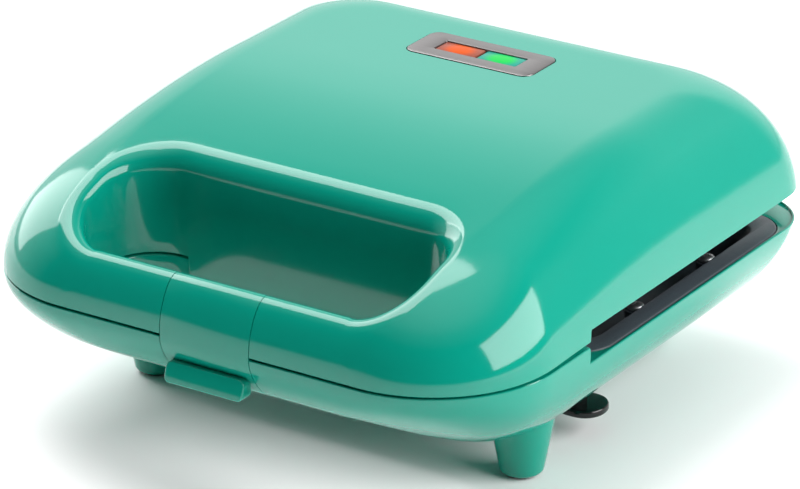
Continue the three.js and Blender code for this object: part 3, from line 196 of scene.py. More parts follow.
def soft_box(name, place, size, power):
    """An area light with a place and size in metres and a power in watts, turned to the object."""
    data = bpy.data.lights.new(name, "AREA")
    data.shape = "RECTANGLE"
    data.size, data.size_y = size
    data.energy = power
    light = bpy.data.objects.new(name, data)
    light.location = place
    light.rotation_mode = "QUATERNION"
    light.rotation_quaternion = (OBJECT_MIDDLE - Vector(place)).to_track_quat("-Z", "Y")
    scene.collection.objects.link(light)


for name, (place, size, power) in SOFT_BOXES.items():
    soft_box(name, place, size, power)

# %% [markdown]
# Shader maths reads best as plain expressions. The class below wraps a socket, so that
# 0.1 + grain * 0.5 adds its Math nodes by itself, and one method makes every other node.

# %% A small language for materials
SHADER = "Principled BSDF"


class Socket:
    """A value in a material. Python's operators on it add Math nodes."""

    def __init__(self, graph, socket):
        self.graph = graph
        self.socket = socket

    def math(self, operation, *values):
        """One step of arithmetic in the material."""
        return self.graph.node("ShaderNodeMath", {"operation": operation}, dict(enumerate(values)))

    def __add__(self, other):
        return self.math("ADD", self, other)

    def __mul__(self, other):
        return self.math("MULTIPLY", self, other)

    def __pow__(self, other):
        return self.math("POWER", self, other)

    __radd__ = __add__
    __rmul__ = __mul__


class Finish:
    """One material: its nodes, its shader and the coordinates that its patterns read."""

    def __init__(self, name, colour, **settings):
        self.material = bpy.data.materials.new(name)
        self.material.use_nodes = True
        self.tree = self.material.node_tree
        self.shader = self.tree.nodes[SHADER]
        self.shader.inputs["Base Color"].default_value = (*colour, 1)
        self.colour = colour
        self.set(**settings)

    def node(self, kind, settings=None, values=None, output=0):
        """A node of a kind, with its settings first and then its sockets' values or links."""
        made = self.tree.nodes.new(kind)
        for key, value in (settings or {}).items():
            setattr(made, key, value)
        for key, value in (values or {}).items():
            self.feed(made.inputs[key], value)
        return Socket(self, made.outputs[output])

    def feed(self, socket, value):
        """Gives a socket a plain value or a link."""
        if isinstance(value, Socket):
            self.tree.links.new(value.socket, socket)
        else:
            socket.default_value = value

    def place(self, scale=(1, 1, 1)):
        """Object coordinates, stretched."""
        coordinates = self.node("ShaderNodeTexCoord", output="Object")
        return self.node("ShaderNodeMapping", values={"Vector": coordinates, "Scale": scale})

    def noise(self, size, detail=2, scale=(1, 1, 1)):
        """Even noise from 0 to 1 whose grains are about size metres across."""
        values = {"Vector": self.place(scale), "Scale": 1 / size, "Detail": detail}
        return self.node("ShaderNodeTexNoise", values=values)

    def set(self, **inputs):
        """Feeds the shader's own inputs, named in small letters."""
        for key, value in inputs.items():
            self.feed(self.shader.inputs[key.replace("_", " ").title()], value)

    def tinted(self, mask, other):
        """The base colour mixed with another by a mask."""
        values = {"Factor": mask, 6: (*self.colour, 1), 7: (*other, 1)}
        mixed = self.node("ShaderNodeMix", {"data_type": "RGBA"}, values, output=2)
        self.set(base_color=mixed)

    def uneven(self, roughness, spread, size):
        """A roughness that rises here and there by up to a spread."""
        self.set(roughness=roughness + self.noise(size) * spread)

    def bump(self, height, strength, distance):
        """A fine relief on the surface."""
        values = {"Height": height, "Strength": strength, "Distance": distance}
        self.set(normal=self.node("ShaderNodeBump", values=values))


print("every finish is built on the", SHADER)

# %% [markdown]
# The floor is plain white board. Everything on the object is moulded, cast, pressed or turned, and
# each of those leaves its own mark: moulded gloss has a faint orange peel, a cast plate a fine grain
# under its coating, a pressed bezel long brush lines. Sizes of a pattern are in metres, as the
# finished meshes are.

# %% Finishes
FAINT = 0.5
SPECK_CONTRAST = 3
board = Finish("floor_board", (0.95, 0.92, 0.925))
board.uneven(roughness=0.85, spread=0.1, size=0.4)
floor.data.materials.append(board.material)


def turquoise_finish():
    """Glossy moulded plastic with a faint unevenness."""
    finish = Finish("turquoise_plastic", (0.0015, 0.275, 0.197))
    finish.tinted(finish.noise(size=0.05) * FAINT, (0.0025, 0.295, 0.212))
    finish.uneven(roughness=0.07, spread=0.04, size=0.02)
    finish.bump(finish.noise(size=0.0035, detail=1), strength=0.02, distance=0.0004)
    return finish.material


def coating_finish():
    """Grey non-stick coating with fine specks."""
    finish = Finish("non_stick_coating", (0.048, 0.062, 0.075))
    speck = finish.noise(size=0.0006, detail=1)
    finish.tinted(speck ** SPECK_CONTRAST, (0.10, 0.12, 0.135))
    finish.uneven(roughness=0.36, spread=0.16, size=0.004)
    finish.bump(finish.noise(size=0.0011, detail=3), strength=0.25, distance=0.0001)
    return finish.material


def black_finish():
    """Black plastic of the hooks and the gland."""
    finish = Finish("black_plastic", (0.003, 0.0035, 0.0035))
    finish.tinted(finish.noise(size=0.01) * FAINT, (0.006, 0.0065, 0.0065))
    finish.uneven(roughness=0.1, spread=0.08, size=0.003)
    finish.bump(finish.noise(size=0.002), strength=0.08, distance=0.0001)
    return finish.material


def rubber_finish():
    """Dull rubber of the pads."""
    finish = Finish("pad_rubber", (0.02, 0.021, 0.021))
    finish.tinted(finish.noise(size=0.002), (0.035, 0.036, 0.036))
    finish.uneven(roughness=0.75, spread=0.2, size=0.001)
    finish.bump(finish.noise(size=0.0006, detail=3), strength=0.4, distance=0.0001)
    return finish.material


STREAK_SHARE = 0.8


def metal_finish(name, colour, roughness, spread, grain, scale=(1, 1, 1)):
    """A metal with streaks as fine as a grain, drawn out by a scale."""
    finish = Finish(name, colour, metallic=1.0)
    streaks = finish.noise(grain, detail=3, scale=scale)
    finish.tinted(streaks, tuple(channel * STREAK_SHARE for channel in colour))
    finish.set(roughness=roughness + streaks * spread)
    finish.bump(streaks, strength=0.15, distance=0.00004)
    return finish.material


AMBER = {"colour": (0.54, 0.075, 0.006), "ends": (0.27, 0.08, 0.055), "glow": (1.0, 0.12, 0.01)}
GREEN = {"colour": (0.008, 0.46, 0.07), "ends": (0.03, 0.28, 0.22), "glow": (0.01, 0.8, 0.1)}
LENS_SPECULAR = 0.04
LENS_GLOW = 0.03
LENS_SIDE_SHARE = 0.6
SPOT_SHARE = 0.35
SPOT_END_SHARE = 0.95
BLACK = (0, 0, 0, 1)


def lens_finish(name, node, colour, ends, glow):
    """A lens that is brightest over its lamp, in the middle of its own length."""
    low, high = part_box(node)
    middle = (low + high) / 2
    finish = Finish(name, ends)
    finish.shader.inputs["Specular IOR Level"].default_value = LENS_SPECULAR
    coordinates = finish.node("ShaderNodeTexCoord", output="Object")
    centred = finish.node("ShaderNodeVectorMath", {"operation": "SUBTRACT"}, {0: coordinates, 1: middle})
    stretch = (2 / (high.x - low.x), 2 * LENS_SIDE_SHARE / (high.y - low.y), 0)
    scaled = finish.node("ShaderNodeVectorMath", {"operation": "MULTIPLY"}, {0: centred, 1: stretch})
    reach = finish.node("ShaderNodeVectorMath", {"operation": "LENGTH"}, {0: scaled}, output="Value")
    spot = {"Value": reach, "From Min": SPOT_SHARE, "From Max": SPOT_END_SHARE, "To Min": 1.0, "To Max": 0.0}
    fade = finish.node("ShaderNodeMapRange", {"interpolation_type": "SMOOTHSTEP"}, spot)
    finish.tinted(fade, colour)
    glows = {"Factor": fade, 6: BLACK, 7: (*glow, 1)}
    light = finish.node("ShaderNodeMix", {"data_type": "RGBA"}, glows, output=2)
    finish.set(emission_color=light, emission_strength=LENS_GLOW)
    finish.uneven(roughness=0.14, spread=0.1, size=0.001)
    finish.bump(finish.noise(size=0.0008), strength=0.15, distance=0.0001)
    return finish.material


PATCH_SHARE = 0.88


def ceramic_finish(name, colour):
    """A dull fired body with soft patches."""
    finish = Finish(name, colour)
    finish.tinted(finish.noise(size=0.003), tuple(channel * PATCH_SHARE for channel in colour))
    finish.uneven(roughness=0.55, spread=0.2, size=0.0015)
    finish.bump(finish.noise(size=0.0008, detail=3), strength=0.2, distance=0.0001)
    return finish.material


BRUSH_STRETCH = (0.35, 18, 1)
finishes = {
    "turquoise_plastic": turquoise_finish(),
    "non_stick_coating": coating_finish(),
    "black_plastic": black_finish(),
    "pad_rubber": rubber_finish(),
    "bright_steel": metal_finish("bright_steel", (0.60, 0.61, 0.62), 0.30, 0.15, 0.002),
    "pan_sheet": metal_finish("pan_sheet", (0.60, 0.61, 0.62), 0.35, 0.15, 0.004),
    "element_steel": metal_finish("element_steel", (0.16, 0.15, 0.14), 0.45, 0.2, 0.003),
    "brushed_bezel": metal_finish("brushed_bezel", (0.245, 0.235, 0.235), 0.30, 0.14, 0.004, BRUSH_STRETCH),
    "amber_lens": lens_finish("amber_lens", "power_lens", **AMBER),
    "green_lens": lens_finish("green_lens", "ready_lens", **GREEN),
    "ceramic": ceramic_finish("ceramic", (0.76, 0.73, 0.67)),
    "sleeve_white": ceramic_finish("sleeve_white", (0.68, 0.66, 0.61)),
}
for part in frame["record"]["subparts"]:
    data = nodes[part["node"]].data
    data.materials.clear()
    data.materials.append(finishes[part["material_slot"]])
print(len(finishes), "finishes on", len(nodes), "nodes")

# %% [markdown]
# Both shells are rounded rectangles that rise from the seam like pillows. The rounding reaches a
# stated span inward, the corners tighten on the way, and the height falls towards the handle. Each
# shell is a stack of rings: a circle of vertices is extruded ring by ring, from the wall's foot
# over the outside, down into the handle opening and back along the inside of the wall.

# %% Plans: rounded rectangles seen from above
COLUMNS = {"front": 44, "corner": 22}
STEP_PLACE = -46.9
STEP_RUN = 1.6
STEP_ZONE = 6
POINTS_BEFORE_STEP = 7
POINTS_AT_STEP = 28
POINTS_BEHIND_STEP = 32
POINTS_BESIDE_APRON = 5
POINTS_ON_APRON = 18
APRON_HALF = 50
APRON_DROP = 10.5
APRON_GAP = 0.6


def side_shares(front, rear):
    """Shares along a side of the shells, close together where the slot's step is."""
    stretches = [
        (front, STEP_PLACE - STEP_ZONE, POINTS_BEFORE_STEP),
        (STEP_PLACE - STEP_ZONE, STEP_PLACE + STEP_ZONE, POINTS_AT_STEP),
        (STEP_PLACE + STEP_ZONE, rear, POINTS_BEHIND_STEP),
    ]
    places = [start + (end - start) * i / count for start, end, count in stretches for i in range(count)]
    return [(y - front) / (rear - front) for y in places]


def rear_shares(apron_share, gap_share):
    """Shares from a corner to the middle of the rear, with a pair at the apron's side edge."""
    beside_share = 1 - apron_share - gap_share
    outside = [1 - beside_share * i / POINTS_BESIDE_APRON for i in range(POINTS_BESIDE_APRON)]
    inside = [apron_share * (1 - i / POINTS_ON_APRON) for i in range(POINTS_ON_APRON + 1)]
    return outside + [apron_share + gap_share] + inside


class Plan:
    """A rounded rectangle: half width, front and rear edges, and the corner radii."""

    def __init__(self, half, front, rear, front_corner, rear_corner):
        self.half = half
        self.front = front
        self.rear = rear
        self.front_corner = front_corner
        self.rear_corner = rear_corner

    def grown(self, by):
        """The plan with its line moved outward."""
        radii = (self.front_corner + by, self.rear_corner + by)
        return Plan(self.half + by, self.front - by, self.rear + by, *radii)

    def ring(self, counts=COLUMNS):
        """Points round the plan from the front's middle, with their outward directions."""
        half_front = self.half - self.front_corner
        half_rear = self.half - self.rear_corner
        y_front = self.front + self.front_corner
        y_rear = self.rear - self.rear_corner
        right = []
        for i in range(counts["front"] // 2):
            right.append((half_front * i / (counts["front"] / 2), self.front, 0.0, -1.0))
        right += self.corner(half_front, y_front, self.front_corner, -90, counts["corner"])
        for share in counts.get("side", side_shares_of_shell):
            right.append((self.half, y_front + (y_rear - y_front) * share, 1.0, 0.0))
        right += self.corner(half_rear, y_rear, self.rear_corner, 0, counts["corner"])
        for share in counts.get("rear", rear_shares_of_shell):
            right.append((half_rear * share, self.rear, 0.0, 1.0))
        left = [(-x, y, -nx, ny) for x, y, nx, ny in reversed(right[1:-1])]
        return right + left

    def corner(self, x, y, radius, start, count):
        """Points of a quarter circle that starts at an angle in degrees."""
        points = []
        for i in range(count):
            angle = math.radians(start + 90 * i / count)
            nx, ny = math.cos(angle), math.sin(angle)
            points.append((x + radius * nx, y + radius * ny, nx, ny))
        return points

    def holds(self, x, y):
        """Whether a point lies within the plan."""
        x = abs(x)
        if x > self.half or y < self.front or y > self.rear:
            return False
        over_x = x - (self.half - self.front_corner)
        over_y = self.front + self.front_corner - y
        if over_x > 0 and over_y > 0:
            return math.hypot(over_x, over_y) <= self.front_corner
        over_x = x - (self.half - self.rear_corner)
        over_y = y - (self.rear - self.rear_corner)
        if over_x > 0 and over_y > 0:
            return math.hypot(over_x, over_y) <= self.rear_corner
        return True


DEPTH = 244
FRONT_CORNER = 50
REAR_CORNER = 25
BAR_DEPTH = 15
THROAT_HALF = 72
THROAT_SETBACK = 0.6
THROAT_DEPTH = 46
THROAT_CORNERS = (17, 19)
shell_low, shell_high = node_box("base_shell")
half_width = shell_high.x
front_edge = shell_low.y
rear_edge = front_edge + DEPTH
outline = Plan(half_width, front_edge, rear_edge, FRONT_CORNER, REAR_CORNER)
bar_rear = front_edge + BAR_DEPTH
throat = Plan(THROAT_HALF, bar_rear + THROAT_SETBACK, bar_rear + THROAT_DEPTH, *THROAT_CORNERS)
side_shares_of_shell = side_shares(outline.front + FRONT_CORNER, outline.rear - REAR_CORNER)
throat_rear_half = throat.half - throat.rear_corner
rear_shares_of_shell = rear_shares(APRON_HALF / throat_rear_half, APRON_GAP / throat_rear_half)
print("outline", round(half_width, 2), round(front_edge, 2), round(rear_edge, 2))

# %% [markdown]
# A form holds what differs between the lid and the base: which way it rises, how far the rounding
# reaches, the opening and how the height runs from front to rear.

# %% Forms of the two shells
WALL = 2.5
WALL_ROWS = 8
LIP_RADIUS = 0.7
LIP_EDGE = 0.3
REBATE_WIDTH = 0.8
REBATE_DROP = 2.6
REBATE_CHAMFER = 0.1
SURFACE_HALVINGS = 22
RIM_ROOM_SHARE = 0.9


class Form:
    """One half of the body: its surface is a pillow over the outline."""

    def __init__(self, sign, seam, spans, inner_corners, radii, opening, height):
        self.sign = sign
        self.seam = seam
        self.side_span, self.front_span = spans
        self.inner_corners = inner_corners
        self.end_radius, self.rear_radius, self.bar_radius = radii
        self.opening = opening
        self.height = height

    def nested(self, inset, share):
        """The outline drawn in by a share of the rounding."""
        side = inset + (self.side_span - inset) * share
        front = inset + (self.front_span - inset) * share
        corners = [
            radius - inset + (inner - radius) * share
            for radius, inner in zip((outline.front_corner, outline.rear_corner), self.inner_corners)
        ]
        return Plan(half_width - side, front_edge + front, rear_edge - side, *corners)

    def surface(self, inset, x, y):
        """Height of the pillow's surface over a point."""
        full = self.height(y) - inset
        if self.nested(inset, 1).holds(x, y):
            return self.seam + self.sign * full
        low, high = 0.0, 1.0
        for _ in range(SURFACE_HALVINGS):
            middle = (low + high) / 2
            if self.nested(inset, middle).holds(x, y):
                low = middle
            else:
                high = middle
        return self.seam + self.sign * full * math.sqrt(1 - (1 - low) ** 2)

    def rim(self, inset, start, rim):
        """Radius of the opening's rim: rounder along the handle bar, within the bar's width."""
        bar_share = max(0.0, -rim[3]) ** 2
        rear_share = max(0.0, rim[3]) ** 2
        radius = self.end_radius + (self.bar_radius - self.end_radius) * bar_share
        radius += (self.rear_radius - self.end_radius) * rear_share - inset / 2
        room = (start[0] - rim[0]) * rim[2] + (start[1] - rim[1]) * rim[3]
        return min(radius, room * RIM_ROOM_SHARE)


SEAM_GAP = 0.8
LID_FLAT = 92
LID_BEND = 75
LID_SLOPE = 0.195
BELLY_HEIGHT = 20
BASE_FLAT = 82
BASE_BEND = 45
BASE_SLOPE = 0.46


def bent_run(run, bend):
    """A run that starts with a soft bend and goes on straight."""
    run = max(0.0, run)
    return run * run / (2 * bend) if run < bend else run - bend / 2


def lid_height(y):
    """The lid is flat at the rear and falls towards the handle."""
    return crown - lid_seam - LID_SLOPE * bent_run(rear_edge - LID_FLAT - y, LID_BEND)


def base_height(y):
    """The base is flat at the rear and rises towards the handle."""
    return base_seam - BELLY_HEIGHT - BASE_SLOPE * bent_run(front_edge + BASE_FLAT - y, BASE_BEND)


base_seam = shell_high.z
lid_seam = base_seam + SEAM_GAP
crown = node_box("lid_shell")[1].z
LID_OPENING_HALF = 72.3
LID_OPENING_DEPTH = 46.4
BASE_OPENING_HALF = 73.5
BASE_OPENING_DEPTH = 47.3
BASE_OPENING_STEP = 0.5
lid_opening = Plan(
    LID_OPENING_HALF, bar_rear, bar_rear + LID_OPENING_DEPTH,
    front_corner=18, rear_corner=20.5,
)
base_opening = Plan(
    BASE_OPENING_HALF, bar_rear - BASE_OPENING_STEP, bar_rear + BASE_OPENING_DEPTH,
    front_corner=18, rear_corner=20,
)
lid_form = Form(
    sign=1, seam=lid_seam, spans=(38, 30), inner_corners=(36, 24), radii=(6.5, 8, 14),
    opening=lid_opening, height=lid_height,
)
base_form = Form(
    sign=-1, seam=base_seam, spans=(40, 15), inner_corners=(34, 24), radii=(4, 4, 5),
    opening=base_opening, height=base_height,
)
print("seam", round(base_seam, 2), "crown", round(crown, 2))

# %% [markdown]
# The slot behind the step is no cut: the ring that starts each shell simply runs higher there on
# the lid and lower on the base, with a short smooth rise in between.

# %% Rings of a shell
LID_EDGE_RISE = 5.3
SEAM_WEDGE = 1.0
WEDGE_RUN = 55
DECK_DROP = 6.7
STRAIGHT_REACH = 45
EDGE_HALVINGS = 20
SHELL_ROWS = 60
RIM_ROWS = 12
INNER_ROWS = 14
INNER_RIM_ROWS = 4
TOUCH = 0.01


def smooth(share):
    """A share that starts and ends softly."""
    share = min(1.0, max(0.0, share))
    return share * share * (3 - 2 * share)


def edge_height(form, y):
    """Height of a shell's outer lower or upper edge at a place along the side."""
    rise = LID_EDGE_RISE if form.sign > 0 else DECK_DROP
    step = rise * smooth((y - STEP_PLACE + STEP_RUN / 2) / STEP_RUN)
    wedge = SEAM_WEDGE * smooth((y - STEP_PLACE + WEDGE_RUN) / WEDGE_RUN) if form.sign > 0 else 0
    return form.seam + form.sign * max(step, wedge)


def throat_height(form, spot):
    """Height where the opening's wall ends: at the rear the lid has an apron, the base a dip."""
    reach = APRON_HALF + (APRON_GAP / 2 if form.sign < 0 else TOUCH)
    if spot[3] < 1 - TOUCH or abs(spot[0]) > reach:
        return form.seam
    return lid_seam - APRON_DROP - (APRON_GAP if form.sign < 0 else 0)


def shell_side(form, inset, rows, rim_rows):
    """Rings from the outline over the surface, round the rim and down to the throat."""
    starts = outline.grown(-inset).ring()
    rims = form.opening.grown(inset).ring()
    ends = throat.grown(inset).ring()
    flats = form.nested(inset, 1).ring()
    tables = []
    for start, flat, rim, end in zip(starts, flats, rims, ends):
        tables.append(shell_column(form, inset, (start, flat, rim, end), rows, rim_rows))
    return [list(level) for level in zip(*tables)]


def bent_path(begin, flat, away):
    """A line from the edge to the rim that crosses the rounding squarely if it has the room."""
    bend = smooth(((away - begin).length - STRAIGHT_REACH) / STRAIGHT_REACH)
    control = begin.lerp(away, 0.5).lerp(flat, bend)
    return lambda share: begin.lerp(control, share).lerp(control.lerp(away, share), share)


def shell_column(form, inset, corners, rows, rim_rows):
    """One line of points from the shell's edge to the throat."""
    start, flat, rim, end = corners
    radius = form.rim(inset, start, rim)
    away = Vector((rim[0] + rim[2] * radius, rim[1] + rim[3] * radius))
    path = bent_path(Vector(start[:2]), Vector(flat[:2]), away)
    edge = edge_height(form, start[1]) + form.sign * (LIP_EDGE if inset == 0 else REBATE_DROP)
    low, high = 0.0, 0.5
    for _ in range(EDGE_HALVINGS):
        middle = (low + high) / 2
        spot = path(middle)
        if form.sign * (form.surface(inset, spot.x, spot.y) - edge) < 0:
            low = middle
        else:
            high = middle
    first = high
    column = []
    for row in range(rows + 1):
        spot = path(first + (1 - first) * (row / rows) ** 2)
        z = edge if row == 0 else form.surface(inset, spot.x, spot.y)
        column.append(Vector((spot.x, spot.y, z)))
    lean = math.atan2(2 * math.dist(rim[:2], end[:2]), form.height(rim[1]) - radius)
    for row in range(1, rim_rows + 1):
        angle = (math.pi / 2 - lean) * row / rim_rows
        reach = radius * (1 - math.sin(angle))
        x, y = rim[0] + rim[2] * reach, rim[1] + rim[3] * reach
        z = form.surface(inset, x, y) - form.sign * radius * (1 - math.cos(angle))
        column.append(Vector((x, y, z)))
    rim_end = column[-1]
    foot_height = throat_height(form, end) + form.sign * (LIP_RADIUS if inset == 0 else 0)
    foot = Vector((end[0], end[1], foot_height))
    for row in range(1, WALL_ROWS + 1):
        share = row / WALL_ROWS
        spot = rim_end.lerp(foot, 1 - (1 - share) ** 2)
        column.append(Vector((spot.x, spot.y, rim_end.z + (foot.z - rim_end.z) * share)))
    return column


def lip(level, normals, sign, turns):
    """A rounded edge: rings that leave a wall's foot and turn in to the wall's middle."""
    rings = []
    for angle in turns:
        inward = LIP_RADIUS * (1 - math.sin(angle))
        down = LIP_RADIUS * math.cos(angle)
        rings.append([
            Vector((p.x - nx * inward, p.y - ny * inward, p.z - sign * down))
            for p, (_, _, nx, ny) in zip(level, normals)
        ])
    return rings


def shelf(level, normals, sign):
    """The thin outer lip of a shell and the rebate behind it that a frame lies in."""
    corners = [
        (REBATE_WIDTH, REBATE_DROP), (REBATE_WIDTH, REBATE_CHAMFER), (REBATE_WIDTH - REBATE_CHAMFER, 0),
        (LIP_EDGE, 0),
    ]
    return [
        [
            Vector((p.x - nx * inward, p.y - ny * inward, p.z + sign * (up - LIP_EDGE)))
            for p, (_, _, nx, ny) in zip(level, normals)
        ]
        for inward, up in corners
    ]


def shell_rings(form):
    """All rings of a closed shell, outside first and then back along the inside."""
    outer = shell_side(form, 0, SHELL_ROWS, RIM_ROWS)
    inner = shell_side(form, WALL, INNER_ROWS, INNER_RIM_ROWS)
    turns = [0.0, math.pi / 6, math.pi / 3]
    ends = [(x, y, -nx, -ny) for x, y, nx, ny in throat.ring()]
    return (
        shelf(outer[0], outline.ring(), form.sign)
        + outer
        + list(reversed(lip(outer[-1], ends, form.sign, turns)))
        + list(reversed(inner))
    )


print("a ring of the shells has", len(outline.ring()), "points")

# %% [markdown]
# One function turns such rings into a mesh. Blender's own circle is the first ring, and its edges are
# extruded once for each ring that follows. A shell's last ring meets its first, so it is closed like
# a bent pipe, while a solid piece gets a cap at both ends.

# %% From rings to a mesh
DOUBLES = 1e-5


def stack_rings(rings, loop=False):
    """Extrudes a circle ring by ring. A loop joins the last ring to the first, a stack has caps."""
    mesh = bmesh.new()
    column = mesh.verts.layers.int.new("column")
    bmesh.ops.create_circle(mesh, cap_ends=not loop, radius=1, segments=len(rings[0]))
    mesh.verts.ensure_lookup_table()
    for i, vert in enumerate(mesh.verts):
        vert[column] = i
        vert.co = rings[0][i]
    edges = list(mesh.edges)
    for ring in [*rings[1:], rings[0]] if loop else rings[1:]:
        made = bmesh.ops.extrude_edge_only(mesh, edges=edges)["geom"]
        fresh = {part for part in made if isinstance(part, bmesh.types.BMVert)}
        for vert in fresh:
            vert.co = ring[vert[column]]
        edges = [
            part for part in made
            if isinstance(part, bmesh.types.BMEdge) and fresh.issuperset(part.verts)
        ]
    if not loop:
        bmesh.ops.edgeloop_fill(mesh, edges=edges)
    bmesh.ops.remove_doubles(mesh, verts=mesh.verts, dist=DOUBLES)
    bmesh.ops.recalc_face_normals(mesh, faces=mesh.faces)
    return mesh


def finish_piece(mesh, name, slot, body, replaces=(), sharp=40):
    """Turns a bmesh in millimetres into a named piece that rides on a body."""
    bmesh.ops.scale(mesh, vec=(MM, MM, MM), verts=mesh.verts)
    data = bpy.data.meshes.new(name)
    mesh.to_mesh(data)
    mesh.free()
    for polygon in data.polygons:
        polygon.use_smooth = True
    data.set_sharp_from_angle(angle=math.radians(sharp))
    data.materials.append(finishes[slot])
    piece = bpy.data.objects.new(name, data)
    scene.collection.objects.link(piece)
    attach(piece, body)
    if replaces:
        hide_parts(*replaces)
    print(name, len(data.polygons), "faces")


print("points closer than", DOUBLES, "mm are merged")

# %% [markdown]
# Smaller pieces come from a few tools: a slab is an outline given a thickness, a turned piece is a
# profile spun round an axis, and a Boolean joins or cuts two of them. Moulded and cast edges are
# never sharp, so each gets a small round that catches the light.

# %% Slabs, turned pieces, cuts and rounded edges
SPIN_STEPS = 48
EDGE_ROWS = 4
WELD = 0.01
FLAT_ANGLE = 1


def slab(points, low, high, across=False):
    """A closed outline with a thickness, upward or, if across, from left to right."""
    if across:
        return stack_rings([[Vector((x, y, z)) for y, z in points] for x in (low, high)])
    return stack_rings([[Vector((p[0], p[1], z)) for p in points] for z in (low, high)])


def block(low, high):
    """A plain box between two corners."""
    (x0, y0, z0), (x1, y1, z1) = low, high
    return slab([(x0, y0), (x1, y0), (x1, y1), (x0, y1)], z0, z1)


def turned(profile, place, axis="Z", segments=SPIN_STEPS):
    """A profile of (radius, height) points, spun round an axis through a place."""
    mesh = bmesh.new()
    verts = [mesh.verts.new((radius, 0, height)) for radius, height in profile]
    edges = [mesh.edges.new(pair) for pair in zip(verts, verts[1:])]
    spin = {"cent": (0, 0, 0), "axis": (0, 0, 1), "angle": math.tau, "steps": segments}
    bmesh.ops.spin(mesh, geom=verts + edges, use_merge=True, **spin)
    bmesh.ops.remove_doubles(mesh, verts=mesh.verts, dist=DOUBLES)
    turns = {"X": Matrix.Rotation(math.pi / 2, 3, "Y"), "Y": Matrix.Rotation(-math.pi / 2, 3, "X")}
    if axis in turns:
        bmesh.ops.rotate(mesh, verts=mesh.verts, matrix=turns[axis])
    bmesh.ops.translate(mesh, verts=mesh.verts, vec=place)
    bmesh.ops.recalc_face_normals(mesh, faces=mesh.faces)
    return mesh


def rod(radius, start, end, place, axis="Z", edge=0.0):
    """A plain cylinder, with its end edges rounded if an edge radius is given."""
    profile = [(0, start)]
    angles = [math.pi / 2 * i / EDGE_ROWS for i in range(EDGE_ROWS + 1 if edge else 1)]
    for angle in angles:
        profile.append((radius - edge * (1 - math.sin(angle)), start + edge * (1 - math.cos(angle))))
    for angle in angles:
        profile.append((radius - edge * (1 - math.cos(angle)), end - edge * (1 - math.sin(angle))))
    return turned([*profile, (0, end)], place, axis)


def holder_of(mesh):
    """A scratch object for a Boolean, which takes the bmesh over."""
    data = bpy.data.meshes.new("scratch")
    mesh.to_mesh(data)
    mesh.free()
    holder = bpy.data.objects.new("scratch", data)
    scene.collection.objects.link(holder)
    return holder


def combined(mesh, *tools, operation="DIFFERENCE"):
    """A bmesh cut by, or joined to, one or more others."""
    holder = holder_of(mesh)
    others = [holder_of(tool) for tool in tools]
    for other in others:
        modifier = holder.modifiers.new("boolean", "BOOLEAN")
        modifier.operation = operation
        modifier.solver = "EXACT"
        modifier.object = other
    result = bmesh.new()
    result.from_object(holder, bpy.context.evaluated_depsgraph_get())
    for used in [holder, *others]:
        data = used.data
        bpy.data.objects.remove(used)
        bpy.data.meshes.remove(data)
    return result


def joined(*meshes):
    """Several closed bmeshes made into one."""
    return combined(*meshes, operation="UNION")


def add_mesh(mesh, other):
    """Adds a closed bmesh to another as it is, for pieces that are buried in a wall."""
    data = bpy.data.meshes.new("scratch")
    other.to_mesh(data)
    other.free()
    mesh.from_mesh(data)
    bpy.data.meshes.remove(data)


def round_edges(mesh, width, segments=3, angle=40):
    """Rounds every edge that is sharper than an angle, outside and inside corners alike."""
    bmesh.ops.remove_doubles(mesh, verts=mesh.verts, dist=WELD)
    bmesh.ops.dissolve_limit(
        mesh, angle_limit=math.radians(FLAT_ANGLE), verts=mesh.verts, edges=mesh.edges, delimit={"NORMAL"}
    )
    sharp = [
        edge for edge in mesh.edges
        if len(edge.link_faces) == 2 and edge.calc_face_angle(0) > math.radians(angle)
    ]
    bmesh.ops.bevel(
        mesh, geom=sharp, offset=width, segments=segments, affect="EDGES", profile=0.5, material=-1,
        clamp_overlap=True,
    )
    return mesh


print("turned pieces are spun in", SPIN_STEPS, "steps")

# %% [markdown]
# The latch takes a bite out of the bar of both shells. The strip between two cuts is removed, and
# cheeks inside the wall close the bar's ends again. The lid also has a seat for the indicator panel,
# and the base a hole for the gland of the lead.

# %% Lid and base shells
LATCH_HALF = 19.2
LATCH_DEPTH = 11.3
FIT_GAP = 0.3
PIN_SETBACK = 10.7
PIN_RISE = 13.4
PIN_ROOM = 4.4
BAR_ROWS = 46
CUT_REACH = 4
LID_BITE_OVERRUN = 2
CHEEK = 3
CHEEK_INSET = 0.9
CHEEK_LIFT = 0.6
CHEEK_SETBACK = 0.3
bite_half = LATCH_HALF + FIT_GAP
latch_back = front_edge + LATCH_DEPTH
pin_y = front_edge + PIN_SETBACK
pin_z = lid_seam + PIN_RISE


def bar_line(form, inset=0.0):
    """The outer line of the bar at its middle, as (y, z) points from the seam to the rim's end."""
    plans = (outline, form.nested(0, 1), form.opening, throat)
    column = shell_column(form, 0, [plan.ring()[0] for plan in plans], BAR_ROWS, RIM_ROWS)
    points = [(p.y, p.z) for p in column[:-WALL_ROWS]]
    return inside_line(points, inset * form.sign) if inset else points


def inside_line(points, by):
    """A line moved to its side."""
    moved = []
    for i, (y, z) in enumerate(points):
        y0, z0 = points[max(0, i - 1)]
        y1, z1 = points[min(len(points) - 1, i + 1)]
        length = math.hypot(y1 - y0, z1 - z0)
        moved.append((y + by * (z1 - z0) / length, z - by * (y1 - y0) / length))
    return moved


def cut_region(mesh, planes):
    """Slices the faces of the bar by planes, so that a strip of it can be removed."""
    for place, normal in planes:
        near = [face for face in mesh.faces if face.calc_center_median().y < bar_rear + CUT_REACH]
        geometry = set(near)
        for face in near:
            geometry.update(face.edges)
            geometry.update(face.verts)
        bmesh.ops.bisect_plane(mesh, geom=list(geometry), plane_co=place, plane_no=normal)


